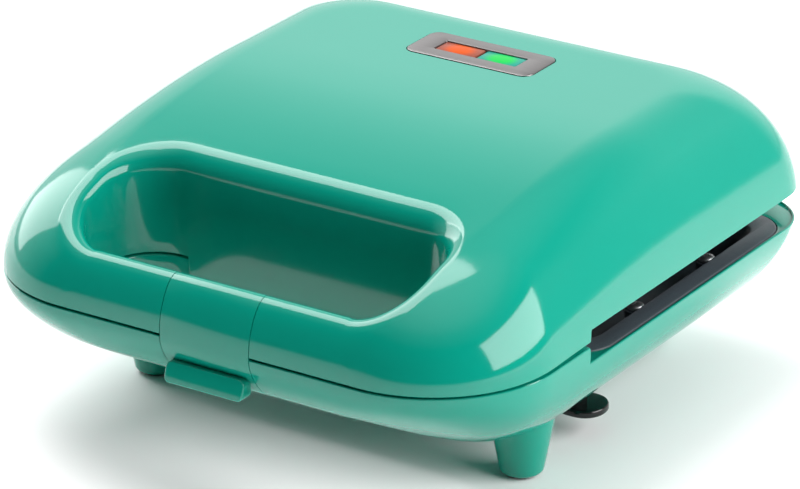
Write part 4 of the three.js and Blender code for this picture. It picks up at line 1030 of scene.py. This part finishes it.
def bitten(mesh, rear):
    """Removes the strip of the bar that the latch clip fills."""
    sides = [((x, 0, 0), (1, 0, 0)) for x in (-bite_half, bite_half)]
    cut_region(mesh, [*sides, ((0, rear, 0), (0, 1, 0))])
    inside = []
    for face in mesh.faces:
        middle = face.calc_center_median()
        if abs(middle.x) < bite_half and middle.y < rear:
            inside.append(face)
    bmesh.ops.delete(mesh, geom=inside, context="FACES")
    rims = [edge for edge in mesh.edges if edge.is_boundary]
    bmesh.ops.holes_fill(mesh, edges=rims, sides=0)
    return mesh


def cheek(form, x0, x1):
    """A plate that closes the end of the bar, buried in the middle of the wall."""
    foot = form.seam + form.sign * CHEEK_LIFT
    line = [p for p in bar_line(form, CHEEK_INSET) if form.sign * (p[1] - form.seam) > CHEEK_LIFT]
    rear = bar_rear + CHEEK_SETBACK
    line += [(rear, line[-1][1]), (rear, foot), (line[0][0], foot)]
    return slab(line, x0, x1, across=True)


def with_cheeks(mesh, form):
    """Adds the plates that close the bar on both sides of the bite."""
    for x in (-bite_half - CHEEK, bite_half):
        add_mesh(mesh, cheek(form, x, x + CHEEK))
    return mesh


SMALL = {"front": 4, "corner": 8, "side": (0, 0.5), "rear": (1, 0.5, 0)}
OVERRUN = 5
BEZEL_HALF = 28
BEZEL_HALF_DEPTH = 11.7
SEAT_CORNER = 4.8
SEAT_DEPTH = 1.1
WINDOW_HALF = 18.3
WINDOW_HALF_DEPTH = 4.8
WINDOW_REACH = 8


def lid_shell_mesh():
    """The lid with its bite, the seat of the indicator panel and the window under it."""
    mesh = bitten(stack_rings(shell_rings(lid_form), loop=True), bar_rear + LID_BITE_OVERRUN)
    half_depth = BEZEL_HALF_DEPTH + FIT_GAP
    seat_half = BEZEL_HALF + FIT_GAP
    seat_plan = Plan(seat_half, bezel_y - half_depth, bezel_y + half_depth, SEAT_CORNER, SEAT_CORNER)
    seat = slab(seat_plan.ring(SMALL), crown - SEAT_DEPTH, crown + OVERRUN)
    window = block(
        (-WINDOW_HALF, bezel_y - WINDOW_HALF_DEPTH, crown - WINDOW_REACH),
        (WINDOW_HALF, bezel_y + WINDOW_HALF_DEPTH, crown + OVERRUN),
    )
    return with_cheeks(combined(mesh, seat, window), lid_form)


GLAND_SETBACK = 7
GLAND_HEIGHT = 41
GLAND_SEAT = 8.3
GLAND_SEAT_REACH = 20
GLAND_BORE = 5.3
GLAND_BORE_REACH = 30
GLAND_PAD = ((-12, -5, 30), (12, 1.5, 51))
TROUGH_WALL = ((-53.6, -57.4, 47.7), (53.6, -54.4, 60.9))
TROUGH_FLOOR = ((-53.6, -60.4, 47.7), (53.6, -57.4, 50.6))
gland_place = Vector((0, rear_edge - GLAND_SETBACK, GLAND_HEIGHT))


def gland_hole(rear_reach):
    """The bore, which ends at a reach behind the gland's place, and the wider seat."""
    bore = rod(GLAND_BORE, -GLAND_BORE_REACH, rear_reach, gland_place, "Y")
    return bore, rod(GLAND_SEAT, 0, GLAND_SEAT_REACH, gland_place, "Y")


def base_shell_mesh():
    """The base with its bite, the gland's hole in a thicker wall and the trough of the lid's apron."""
    mesh = bitten(stack_rings(shell_rings(base_form), loop=True), latch_back)
    bore, seat = gland_hole(OVERRUN)
    mesh = with_cheeks(combined(mesh, seat, bore), base_form)
    (x0, y0, z0), (x1, y1, z1) = GLAND_PAD
    pad = block((x0, gland_place.y + y0, z0), (x1, gland_place.y + y1, z1))
    add_mesh(mesh, combined(pad, *gland_hole(GLAND_BORE_REACH)))
    add_mesh(mesh, block(*TROUGH_WALL))
    add_mesh(mesh, block(*TROUGH_FLOOR))
    return mesh


bezel_low, bezel_high = node_box("indicator_bezel")
bezel_y = (bezel_low.y + bezel_high.y) / 2
finish_piece(lid_shell_mesh(), "lid_shell_moulding", "turquoise_plastic", "lid", ["lid_shell"])
finish_piece(base_shell_mesh(), "base_shell_moulding", "turquoise_plastic", "base", ["base_shell"])

# %% [markdown]
# The latch clip is one moulding as wide as the bite: a skin that carries on the bar's own curve, a
# barrel round its pin and a finger tab below. Its outline is the bar's line and the same line moved
# inward, extruded across.

# %% Latch clip
TAB_HALF = 17
TAB_DROP = 7.7
TAB_REACH = 2
TAB_LEAN = 2.35
TAB_ROUND = 2.2
TAB_EDGE = 0.9
TAB_UNDER_SEAM = 9
TAB_ROWS = 24
TAB_CURVE = 1.5
TAB_ROOT = 5
TAB_CORNER = 1
CLIP_SKIN = 3
CLIP_EDGE = 0.6
CLIP_OVERLAP = 2
CLIP_SHOULDER = (3, 1)
BARREL_RADIUS = 4
BARREL_EDGE = 0.4
PIN_RADIUS = 2
PIN_HALF = 22.2
PIN_EDGE = 0.3
CORE_SETBACK = 0.55


def latch_clip_mesh():
    """The clip's skin, its barrel and its tab, joined."""
    lip_end = latch_back - FIT_GAP
    under = [p for p in reversed(bar_line(base_form)) if p[0] < lip_end]
    over = bar_line(lid_form)
    skin = [p for p in [*under, *over] if p[0] < pin_y and p[1] < pin_z + CLIP_OVERLAP or p in under]
    inner = [p for p in inside_line(skin, CLIP_SKIN) if p[0] < lip_end]
    shoulder = (pin_y + CLIP_SHOULDER[0], pin_z + CLIP_SHOULDER[1])
    profile = [*under, *over, shoulder, (pin_y, pin_z), *reversed(inner)]
    clip = slab(profile, -LATCH_HALF, LATCH_HALF, across=True)
    ends = [
        edge for edge in clip.edges
        if abs(edge.verts[0].co.x - edge.verts[1].co.x) < TOUCH
    ]
    bmesh.ops.bevel(
        clip, geom=ends, offset=CLIP_EDGE, segments=3, affect="EDGES", profile=0.5, material=-1,
        clamp_overlap=True,
    )
    barrel_half = LATCH_HALF - FIT_GAP
    barrel = rod(BARREL_RADIUS, -barrel_half, barrel_half, (0, pin_y, pin_z), "X", edge=BARREL_EDGE)
    return joined(clip, barrel, latch_tab_mesh())


def latch_tab_mesh():
    """A finger lip that leans outward from the skin, with rounded corners at its four ends."""
    top = base_seam - TAB_UNDER_SEAM
    levels = []
    for i in range(TAB_ROWS + 1):
        drop = TAB_DROP * (1 - math.cos(math.pi * i / TAB_ROWS)) / 2
        over = max(0, TAB_ROUND - drop, TAB_ROUND - (TAB_DROP - drop))
        inset = TAB_ROUND - math.sqrt(TAB_ROUND ** 2 - over ** 2)
        back = TAB_LEAN * (1 - drop / TAB_DROP) ** TAB_CURVE
        under = max(0, TAB_EDGE - (TAB_DROP - drop))
        back += TAB_EDGE - math.sqrt(TAB_EDGE ** 2 - under ** 2)
        front = front_edge - TAB_REACH + back
        plan = Plan(TAB_HALF - inset, front, front_edge + TAB_ROOT, TAB_CORNER, TAB_CORNER)
        levels.append([Vector((p[0], p[1], top - drop)) for p in plan.ring(SMALL)])
    return stack_rings(levels)


finish_piece(latch_clip_mesh(), "latch_clip_moulding", "turquoise_plastic", "latch", ["latch_clip"])
core = block(
    (-bite_half, latch_back, lid_seam),
    (bite_half, bar_rear + CORE_SETBACK, pin_z - PIN_ROOM),
)
finish_piece(core, "latch_core", "turquoise_plastic", "lid")
pin = rod(PIN_RADIUS, -PIN_HALF, PIN_HALF, (0, pin_y, pin_z), "X", edge=PIN_EDGE)
finish_piece(pin, "latch_pin_turned", "bright_steel", "lid", ["latch_pin"])

# %% [markdown]
# Each foot is a tapered post whose top follows the belly of the base, so its rings are level at the
# bottom and take the surface's own heights at the top. A rubber pad sits in its underside.

# %% Feet and pads
FOOT_TOP = 11.6
FOOT_FOOT = 8.4
FOOT_ROUND = 2.0
FOOT_LIFT = 0.8
FOOT_SINK = 0.3
FOOT_POINTS = 72
FOOT_ROUND_ROWS = 6
FOOT_FITTINGS = 4
FOOT_RISE_SHARES = (0.25, 0.5, 0.75, 0.9, 1)
PAD_SEAT = ((6.2, 3.0), (6.2, 1.0), (6.4, FOOT_LIFT))
PAD_RADIUS = 5.6
PAD_HEIGHT = 2.4
PAD_EDGE = 0.5


def foot_radius(z):
    """Radius of the tapered post at a height."""
    start = FOOT_LIFT + FOOT_ROUND
    return FOOT_FOOT + (FOOT_TOP - FOOT_FOOT) * (z - start) / (BELLY_HEIGHT - start)


def foot_mesh(x, y):
    """A post round a place, from the pad's seat over the rounded foot up to the belly."""
    rings = []
    turns = [math.tau * i / FOOT_POINTS for i in range(FOOT_POINTS)]
    circle = [(math.cos(turn), math.sin(turn)) for turn in turns]
    for radius, z in PAD_SEAT:
        rings.append([Vector((x + radius * c, y + radius * s, z)) for c, s in circle])
    for i in range(1, FOOT_ROUND_ROWS + 1):
        angle = math.pi / 2 * i / FOOT_ROUND_ROWS
        z = FOOT_LIFT + FOOT_ROUND * (1 - math.cos(angle))
        radius = foot_radius(z) - FOOT_ROUND * (1 - math.sin(angle))
        rings.append([Vector((x + radius * c, y + radius * s, z)) for c, s in circle])
    tops = []
    for c, s in circle:
        z = BELLY_HEIGHT
        for _ in range(FOOT_FITTINGS):
            radius = foot_radius(z)
            z = base_form.surface(0, x + radius * c, y + radius * s) + FOOT_SINK
        tops.append(z)
    for share in FOOT_RISE_SHARES:
        ring = []
        for (c, s), top in zip(circle, tops):
            z = FOOT_LIFT + FOOT_ROUND + (top - FOOT_LIFT - FOOT_ROUND) * share
            radius = foot_radius(z)
            ring.append(Vector((x + radius * c, y + radius * s, z)))
        rings.append(ring)
    return stack_rings(rings)


for place in ("front_left", "front_right", "rear_left", "rear_right"):
    low, high = node_box(f"foot_pad_{place}")
    x, y = (low.x + high.x) / 2, (low.y + high.y) / 2
    name = f"foot_{place}"
    finish_piece(foot_mesh(x, y), f"{name}_moulding", "turquoise_plastic", "base", [name])
    pad = rod(PAD_RADIUS, 0, PAD_HEIGHT, (x, y, 0), edge=PAD_EDGE)
    finish_piece(pad, f"foot_pad_{place}_moulding", "pad_rubber", "base", [f"foot_pad_{place}"])

# %% [markdown]
# The hooks that a lead is wound on are black tabs with a round end, held off the belly by a post.

# %% Cord hooks
HOOK_PLAN = Plan(half=10, front=-7, rear=11, front_corner=8.5, rear_corner=8.5)
HOOK_X = 82
HOOK_BOTTOM = 9
HOOK_TOP = 12
HOOK_EDGE = 0.9
POST_X = 78
POST_SIZE = ((-4, -2, 11), (4, 6, 22.5))


def hook_mesh(side):
    """A tab on the left, side -1, or on the right, side 1, with its post."""
    points = [(p[0] + side * HOOK_X, p[1]) for p in HOOK_PLAN.ring(SMALL)]
    tab = round_edges(slab(points, HOOK_BOTTOM, HOOK_TOP), HOOK_EDGE, segments=4, angle=60)
    corners = [(side * POST_X + x, y, z) for x, y, z in POST_SIZE]
    return joined(tab, block(*corners))


for side, name in ((-1, "cord_hook_left"), (1, "cord_hook_right")):
    finish_piece(hook_mesh(side), f"{name}_moulding", "black_plastic", "base", [name])

# %% [markdown]
# Cooking plates are cast. A slab with a body under it has two pockets cut out, and each pocket keeps
# one ridge from corner to corner, which seals and halves a sandwich. The pockets have a draft and
# rounded corners so that the casting leaves its mould and the food leaves the plate.

# %% Cooking plates
PLATE_HALF = 112.2
PLATE_CORNER = 15
RIM_SIDE = 8.2
RIM_END = 11
RECESS = 14
DRAFT = 5
FLOOR = 2.5
DIVIDER_HALF = 2.3
DIVIDER_DRAFT_SHARE = 0.45
POCKET_CORNER = 9
POCKET_MOUTH = ((-0.9, -4), (-0.9, 0), (-0.3, 0.2), (0.1, 0.9))
POCKET_WALL_SHARES = (0.25, 0.5, 0.75)
POCKET_ROUND = 2.6
POCKET_TUCK = 0.6
POCKET_TURNS = (15, 35, 55, 75, 90)
RIDGE_HALF = 4.5
RIDGE_SINK = 2
RIDGE_CREST = ((1.6, -6.4), (0.9, -5.1), (0, -4.6), (-0.9, -5.1), (-1.6, -6.4))
SCREW_X = 100
FRONT_SCREW = 51
REAR_SCREW = 43
SCREW_HOLE = 1.9
SCREW_HOLE_TOP = 2
SCREW_PAD = 4.1
SCREW_PAD_TOP = -3.2
SCREW_PAD_SINK = 4
BODY_TOP = -1
BODY_CORNERS = (11, 11.5)
PLATE_EDGE = 0.7
LOWER_PLATE_THICK = 2.5
UPPER_PLATE_THICK = 3
UPPER_PLATE_INSET = 2.2
plate_low, plate_high = node_box("lower_cooking_plate")
plate_front, plate_rear = plate_low.y, plate_high.y
plate_middle = (plate_front + plate_rear) / 2
screw_places = (plate_front + FRONT_SCREW, plate_rear - REAR_SCREW)


def pocket_ring(side, draw, depth):
    """One level of a pocket: its outline drawn in by a distance, at a depth under the rim."""
    inner = DIVIDER_HALF + draw * DIVIDER_DRAFT_SHARE
    outer = PLATE_HALF - RIM_SIDE - draw
    front, rear = plate_front + RIM_END + draw, plate_rear - RIM_END - draw
    plan = Plan((outer - inner) / 2, front, rear, POCKET_CORNER, POCKET_CORNER)
    centre = side * (inner + outer) / 2
    return [Vector((p[0] + centre, p[1], -depth)) for p in plan.ring(SMALL)]


def pocket_mesh(side):
    """What a pocket takes out of the plate: mouth, drafted wall and rounded floor, less the ridge."""
    levels = list(POCKET_MOUTH)
    levels += [(DRAFT * share, RECESS * share) for share in POCKET_WALL_SHARES]
    for turn in map(math.radians, POCKET_TURNS):
        draw = DRAFT - POCKET_TUCK + POCKET_ROUND * (1 - math.cos(turn))
        levels.append((draw, RECESS - POCKET_ROUND * (1 - math.sin(turn))))
    pocket = stack_rings([pocket_ring(side, draw, depth) for draw, depth in levels])
    return combined(pocket, ridge_mesh(side), *(screw_pad(side, y) for y in screw_places))


def ridge_mesh(side):
    """The ridge from corner to corner of a pocket, with a rounded crest."""
    inner, outer = DIVIDER_HALF, PLATE_HALF - RIM_SIDE - DRAFT
    run_x, run_y = outer - inner, plate_rear - plate_front - 2 * (RIM_END + DRAFT)
    half = math.hypot(run_x, run_y) / 2
    foot = -RECESS - RIDGE_SINK
    section = [(-RIDGE_HALF, foot), (RIDGE_HALF, foot), (RIDGE_HALF, -RECESS), *RIDGE_CREST]
    mesh = slab([*section, (-RIDGE_HALF, -RECESS)], -half, half, across=True)
    angle = math.atan2(run_y, run_x) * side
    bmesh.ops.rotate(mesh, verts=mesh.verts, matrix=Matrix.Rotation(-angle, 3, "Z"))
    bmesh.ops.translate(mesh, verts=mesh.verts, vec=(side * (inner + outer) / 2, plate_middle, 0))
    return mesh


def screw_pad(side, y):
    """The boss that stands up from a pocket's floor round a screw."""
    return rod(SCREW_PAD, -RECESS - SCREW_PAD_SINK, SCREW_PAD_TOP, (side * SCREW_X, y, 0))


def body_ring(draw, corner, z):
    """One level of the body under the rim, which holds both pockets."""
    front, rear = plate_front + RIM_END + draw, plate_rear - RIM_END - draw
    plan = Plan(PLATE_HALF - RIM_SIDE - draw, front, rear, corner, corner)
    return [Vector((p[0], p[1], z)) for p in plan.ring(SMALL)]


def plate_mesh(inset, thick):
    """A plate that faces up, with its rim's top at height zero."""
    corner = PLATE_CORNER - inset
    rim_plan = Plan(PLATE_HALF - inset, plate_front + inset, plate_rear - inset, corner, corner)
    rim = slab(rim_plan.ring(SMALL), -thick, 0)
    bottom_corner, top_corner = BODY_CORNERS
    bottom = body_ring(DRAFT - FLOOR, bottom_corner, -RECESS - FLOOR)
    body = stack_rings([bottom, body_ring(-FLOOR, top_corner, BODY_TOP)])
    plate = joined(round_edges(rim, PLATE_EDGE, segments=3, angle=60), body)
    plate = combined(plate, pocket_mesh(-1), pocket_mesh(1))
    under = -RECESS - SCREW_PAD_SINK - OVERRUN
    places = [(side * SCREW_X, y, 0) for side in (-1, 1) for y in screw_places]
    return combined(plate, *(rod(SCREW_HOLE, under, SCREW_HOLE_TOP, place) for place in places))


lower_rim_top = plate_high.z
lower_plate = plate_mesh(0, LOWER_PLATE_THICK)
bmesh.ops.translate(lower_plate, verts=lower_plate.verts, vec=(0, 0, lower_rim_top))
finish_piece(lower_plate, "lower_plate_casting", "non_stick_coating", "base", ["lower_cooking_plate"])
upper_plate = plate_mesh(UPPER_PLATE_INSET, UPPER_PLATE_THICK)
upper_rim_bottom = node_box("upper_cooking_plate")[0].z
bmesh.ops.scale(upper_plate, verts=upper_plate.verts, vec=(1, 1, -1))
bmesh.ops.recalc_face_normals(upper_plate, faces=upper_plate.faces)
bmesh.ops.translate(upper_plate, verts=upper_plate.verts, vec=(0, 0, upper_rim_bottom))
finish_piece(upper_plate, "upper_plate_casting", "non_stick_coating", "lid", ["upper_cooking_plate"])

# %% [markdown]
# All screws are the same turned shape with a cross in the head, scaled by the CAD node's own box.

# %% Screws
SCREW_TIP = ((0, 0), (1.3, 0), (1.7, 0.5))
SCREW_HEAD = (
    (1.7, -2), (3.0, -2), (3.2, -1.8), (3.2, -1.2), (2.9, -0.6), (2.2, -0.2), (1.2, 0), (0, 0),
)
SCREW_STEPS = 32
CROSS_REACH = 1.7
CROSS_HALF = 0.35
CROSS_DEPTH = 1.1
CROSS_OVERRUN = 1


def screw_mesh(name):
    """A screw where a node is: a turned tip and head, as long as the node, with a cross cut in."""
    low, high = node_box(name)
    x, y = (low.x + high.x) / 2, (low.y + high.y) / 2
    length = high.z - low.z
    profile = [*SCREW_TIP, *((radius, length + height) for radius, height in SCREW_HEAD)]
    screw = turned(profile, (0, 0, 0), segments=SCREW_STEPS)
    arms = []
    for half_x, half_y in ((CROSS_REACH, CROSS_HALF), (CROSS_HALF, CROSS_REACH)):
        bottom, top = length - CROSS_DEPTH, length + CROSS_OVERRUN
        arms.append(block((-half_x, -half_y, bottom), (half_x, half_y, top)))
    screw = combined(screw, *arms)
    if name.startswith("upper") or name.startswith("lamp"):
        bmesh.ops.rotate(screw, verts=screw.verts, matrix=Matrix.Rotation(math.pi, 3, "X"))
        bmesh.ops.translate(screw, verts=screw.verts, vec=(x, y, high.z))
    else:
        bmesh.ops.translate(screw, verts=screw.verts, vec=(x, y, low.z))
    return screw


screw_names = [name for name in nodes if "screw" in name]
for name in screw_names:
    body = "base" if name.startswith("lower") else "lid"
    finish_piece(screw_mesh(name), f"{name}_turned", "bright_steel", body, [name])

# %% [markdown]
# Behind the seam each half is closed by a frame: a shelf round the plate, a wall at the step and a
# face round the handle opening. It also carries the knuckles of the hinge.

# %% Frames
FAR = 300
FRAME_GAP = 0.4
FRAME_WALL = 2.2
FRAME_SETBACK = 0.3
FRAME_EDGE = 0.3
FRAME_OVERRUN = 9
WEB_OVERLAP = 0.2
THROAT_ROOM = 2.8
LATCH_ROOM = 22.8


def frame_mesh(seam_face, deck_face, away):
    """A shelf at the seam, one at the deck and the web between; away is up 1 or down -1."""
    plan = outline.grown(-REBATE_WIDTH - FRAME_GAP)
    seam_back, deck_back = seam_face + away * FRAME_WALL, deck_face + away * FRAME_WALL
    low, high = sorted((seam_face, deck_face, seam_back, deck_back))[::3]
    bottom, top = low - FRAME_OVERRUN, high + FRAME_OVERRUN

    def all_before(y):
        """What a cut takes away in front of a place."""
        return block((-FAR, -FAR, bottom), (FAR, y, top))

    def all_behind(y):
        """What a cut takes away behind a place."""
        return block((-FAR, y, bottom), (FAR, FAR, top))

    front = slab(plan.ring(), *sorted((seam_face, seam_back)))
    front = combined(front, all_behind(STEP_PLACE))
    deck = slab(plan.ring(), *sorted((deck_face, deck_back)))
    deck = combined(deck, all_before(STEP_PLACE - FRAME_WALL))
    web = slab(plan.ring(), low, high)
    web = combined(web, all_before(STEP_PLACE - FRAME_WALL), all_behind(STEP_PLACE + WEB_OVERLAP))
    cuts = [slab(throat.grown(THROAT_ROOM).ring(), bottom, top)]
    cuts.append(block((-LATCH_ROOM, -FAR, bottom), (LATCH_ROOM, bar_rear + THROAT_ROOM, top)))
    return combined(joined(front, deck, web), *cuts)


def plate_opening(grown_by, corner, top):
    """The opening that a plate's rim or pockets look through."""
    plan = Plan(PLATE_HALF + grown_by, plate_front - grown_by, plate_rear + grown_by, corner, corner)
    return slab(plan.ring(SMALL), OPENING_BOTTOM, top)


DECK_STEP = 0.6
OPENING_BOTTOM = 40
BASE_OPENING = {"grown_by": 0.3, "corner": 15.3, "top": 70}
LID_OPENING = {"grown_by": 2.8 - RIM_SIDE, "corner": 11.8, "top": 90}
TROUGH_ROOM = ((-54, -61, 0), (54, -54.1, 99))
HINGE_X = 59
HINGE_SETBACK = 3.5
KNUCKLE_RADIUS = 4.5
KNUCKLE_EDGE = 0.4
KNUCKLE_WEB_FRONT = 4.5
KNUCKLE_WEB_REAR = 2
KNUCKLE_WEB_INSET = 0.05
KNUCKLE_SINK = 0.6
LID_KNUCKLE = 14
BASE_KNUCKLE = 6
hinge_y = rear_edge - HINGE_SETBACK
hinge_z = (base_seam - DECK_DROP + lid_seam + LID_EDGE_RISE) / 2


def knuckle_mesh(x, length, low, high):
    """A barrel on the hinge's axis with a web that holds it between two heights."""
    half = length / 2
    barrel = rod(KNUCKLE_RADIUS, -half, half, (x, hinge_y, hinge_z), "X", edge=KNUCKLE_EDGE)
    web_half = half - KNUCKLE_WEB_INSET
    front, rear = hinge_y - KNUCKLE_WEB_FRONT, hinge_y - KNUCKLE_WEB_REAR
    return joined(barrel, block((x - web_half, front, low), (x + web_half, rear, high)))


def base_frame_mesh():
    """The base's frame, with room for the trough and the plate and with four knuckles."""
    deck_face = base_seam - DECK_DROP - DECK_STEP
    frame_body = frame_mesh(base_seam - FRAME_SETBACK, deck_face, -1)
    frame_body = combined(frame_body, block(*TROUGH_ROOM), plate_opening(**BASE_OPENING))
    frame_body = round_edges(frame_body, FRAME_EDGE, segments=2, angle=60)
    offset = (LID_KNUCKLE + BASE_KNUCKLE) / 2 + FIT_GAP
    places = [side * HINGE_X + shift for side in (-1, 1) for shift in (-offset, offset)]
    low = deck_face - KNUCKLE_SINK
    return joined(frame_body, *(knuckle_mesh(x, BASE_KNUCKLE, low, hinge_z) for x in places))


def lid_frame_mesh():
    """The lid's frame, which looks down, with two knuckles."""
    deck_face = lid_seam + LID_EDGE_RISE + FRAME_SETBACK
    frame_body = frame_mesh(lid_seam + FRAME_SETBACK, deck_face, 1)
    frame_body = combined(frame_body, plate_opening(**LID_OPENING))
    frame_body = round_edges(frame_body, FRAME_EDGE, segments=2, angle=60)
    places = [side * HINGE_X for side in (-1, 1)]
    high = deck_face + KNUCKLE_SINK
    return joined(frame_body, *(knuckle_mesh(x, LID_KNUCKLE, hinge_z, high) for x in places))


PIN_END_GAP = 0.4
PIN_HEAD_RADIUS = 3.2
PIN_HEAD_HALF = 0.8
PIN_HEAD_EDGE = 0.4


def hinge_pin_mesh(side, name):
    """A pin as long as its node, with a head at its inner end."""
    low, high = node_box(name)
    axis_place = (0, hinge_y, hinge_z)
    shaft = rod(PIN_RADIUS, low.x + PIN_END_GAP, high.x - PIN_END_GAP, axis_place, "X", edge=PIN_EDGE)
    head_x = low.x + PIN_HEAD_HALF if side > 0 else high.x - PIN_HEAD_HALF
    head_place = (head_x, hinge_y, hinge_z)
    head = rod(PIN_HEAD_RADIUS, -PIN_HEAD_HALF, PIN_HEAD_HALF, head_place, "X", edge=PIN_HEAD_EDGE)
    return joined(shaft, head)


finish_piece(base_frame_mesh(), "base_frame_moulding", "turquoise_plastic", "base", ["base_frame"])
finish_piece(lid_frame_mesh(), "lid_frame_moulding", "turquoise_plastic", "lid", ["lid_frame"])
for side, name in ((-1, "hinge_pin_left"), (1, "hinge_pin_right")):
    finish_piece(hinge_pin_mesh(side, name), f"{name}_turned", "bright_steel", "base", [name])

# %% [markdown]
# The indicator panel is a pressed metal plate with a window. Two lenses fill the window, and each is
# brightest where its lamp sits behind it.

# %% Indicator panel and gland
BEZEL_CORNER = 4.5
BEZEL_ROUND = 0.55
BEZEL_ROUND_MIDDLE = 0.16
WINDOW_CORNER = 0.8
WINDOW_ROUND = 0.3
WINDOW_ROUND_MIDDLE = 0.08
LENS_EDGE = 0.35
GLAND_STEPS = 64
GLAND_PROFILE = [
    (3.6, -7), (4.7, -7), (5, -6.7), (5, 0.3), (7.6, 0.3), (8, 0.7), (8, 1.7), (7.6, 2.2), (5.9, 3.0),
    (5.3, 3.2), (4.0, 3.2), (3.6, 2.8), (3.6, -7),
]


def bezel_mesh():
    """A closed loop of rings: up the outside, over the rounded rim and down the window's edge."""
    outer = Plan(BEZEL_HALF, bezel_low.y, bezel_high.y, BEZEL_CORNER, BEZEL_CORNER)
    front, rear = bezel_y - WINDOW_HALF_DEPTH, bezel_y + WINDOW_HALF_DEPTH
    window = Plan(WINDOW_HALF, front, rear, WINDOW_CORNER, WINDOW_CORNER)
    low, high = bezel_low.z, bezel_high.z
    levels = [
        (outer, low, 0),
        (outer, high - BEZEL_ROUND, 0),
        (outer, high - BEZEL_ROUND_MIDDLE, BEZEL_ROUND_MIDDLE),
        (outer, high, BEZEL_ROUND),
        (window, high, -WINDOW_ROUND),
        (window, high - WINDOW_ROUND_MIDDLE, -WINDOW_ROUND_MIDDLE),
        (window, high - WINDOW_ROUND, 0),
        (window, low, 0),
    ]
    rings = [
        [Vector((p[0], p[1], z)) for p in plan.grown(-inset).ring(SMALL)]
        for plan, z, inset in levels
    ]
    return stack_rings(rings, loop=True)


finish_piece(bezel_mesh(), "bezel_pressing", "brushed_bezel", "lid", ["indicator_bezel"])
for name, slot in (("power_lens", "amber_lens"), ("ready_lens", "green_lens")):
    low, high = node_box(name)
    lens = round_edges(block(low, high), LENS_EDGE)
    finish_piece(lens, f"{name}_moulding", slot, "lid", [name])
gland = turned(GLAND_PROFILE, gland_place, "Y", segments=GLAND_STEPS)
finish_piece(gland, "cord_gland_moulding", "black_plastic", "base", ["cord_gland"])

# %% [markdown]
# At the end the size of everything visible is printed and kept beside the frame's own size. The two
# boxes should agree, because a finished piece may be rounder than its solid but not larger.

# %% Sizes and the end
size = {"cad": cad_box, "visual": [list(corner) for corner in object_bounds()]}
print("visual box in metres", size["visual"])
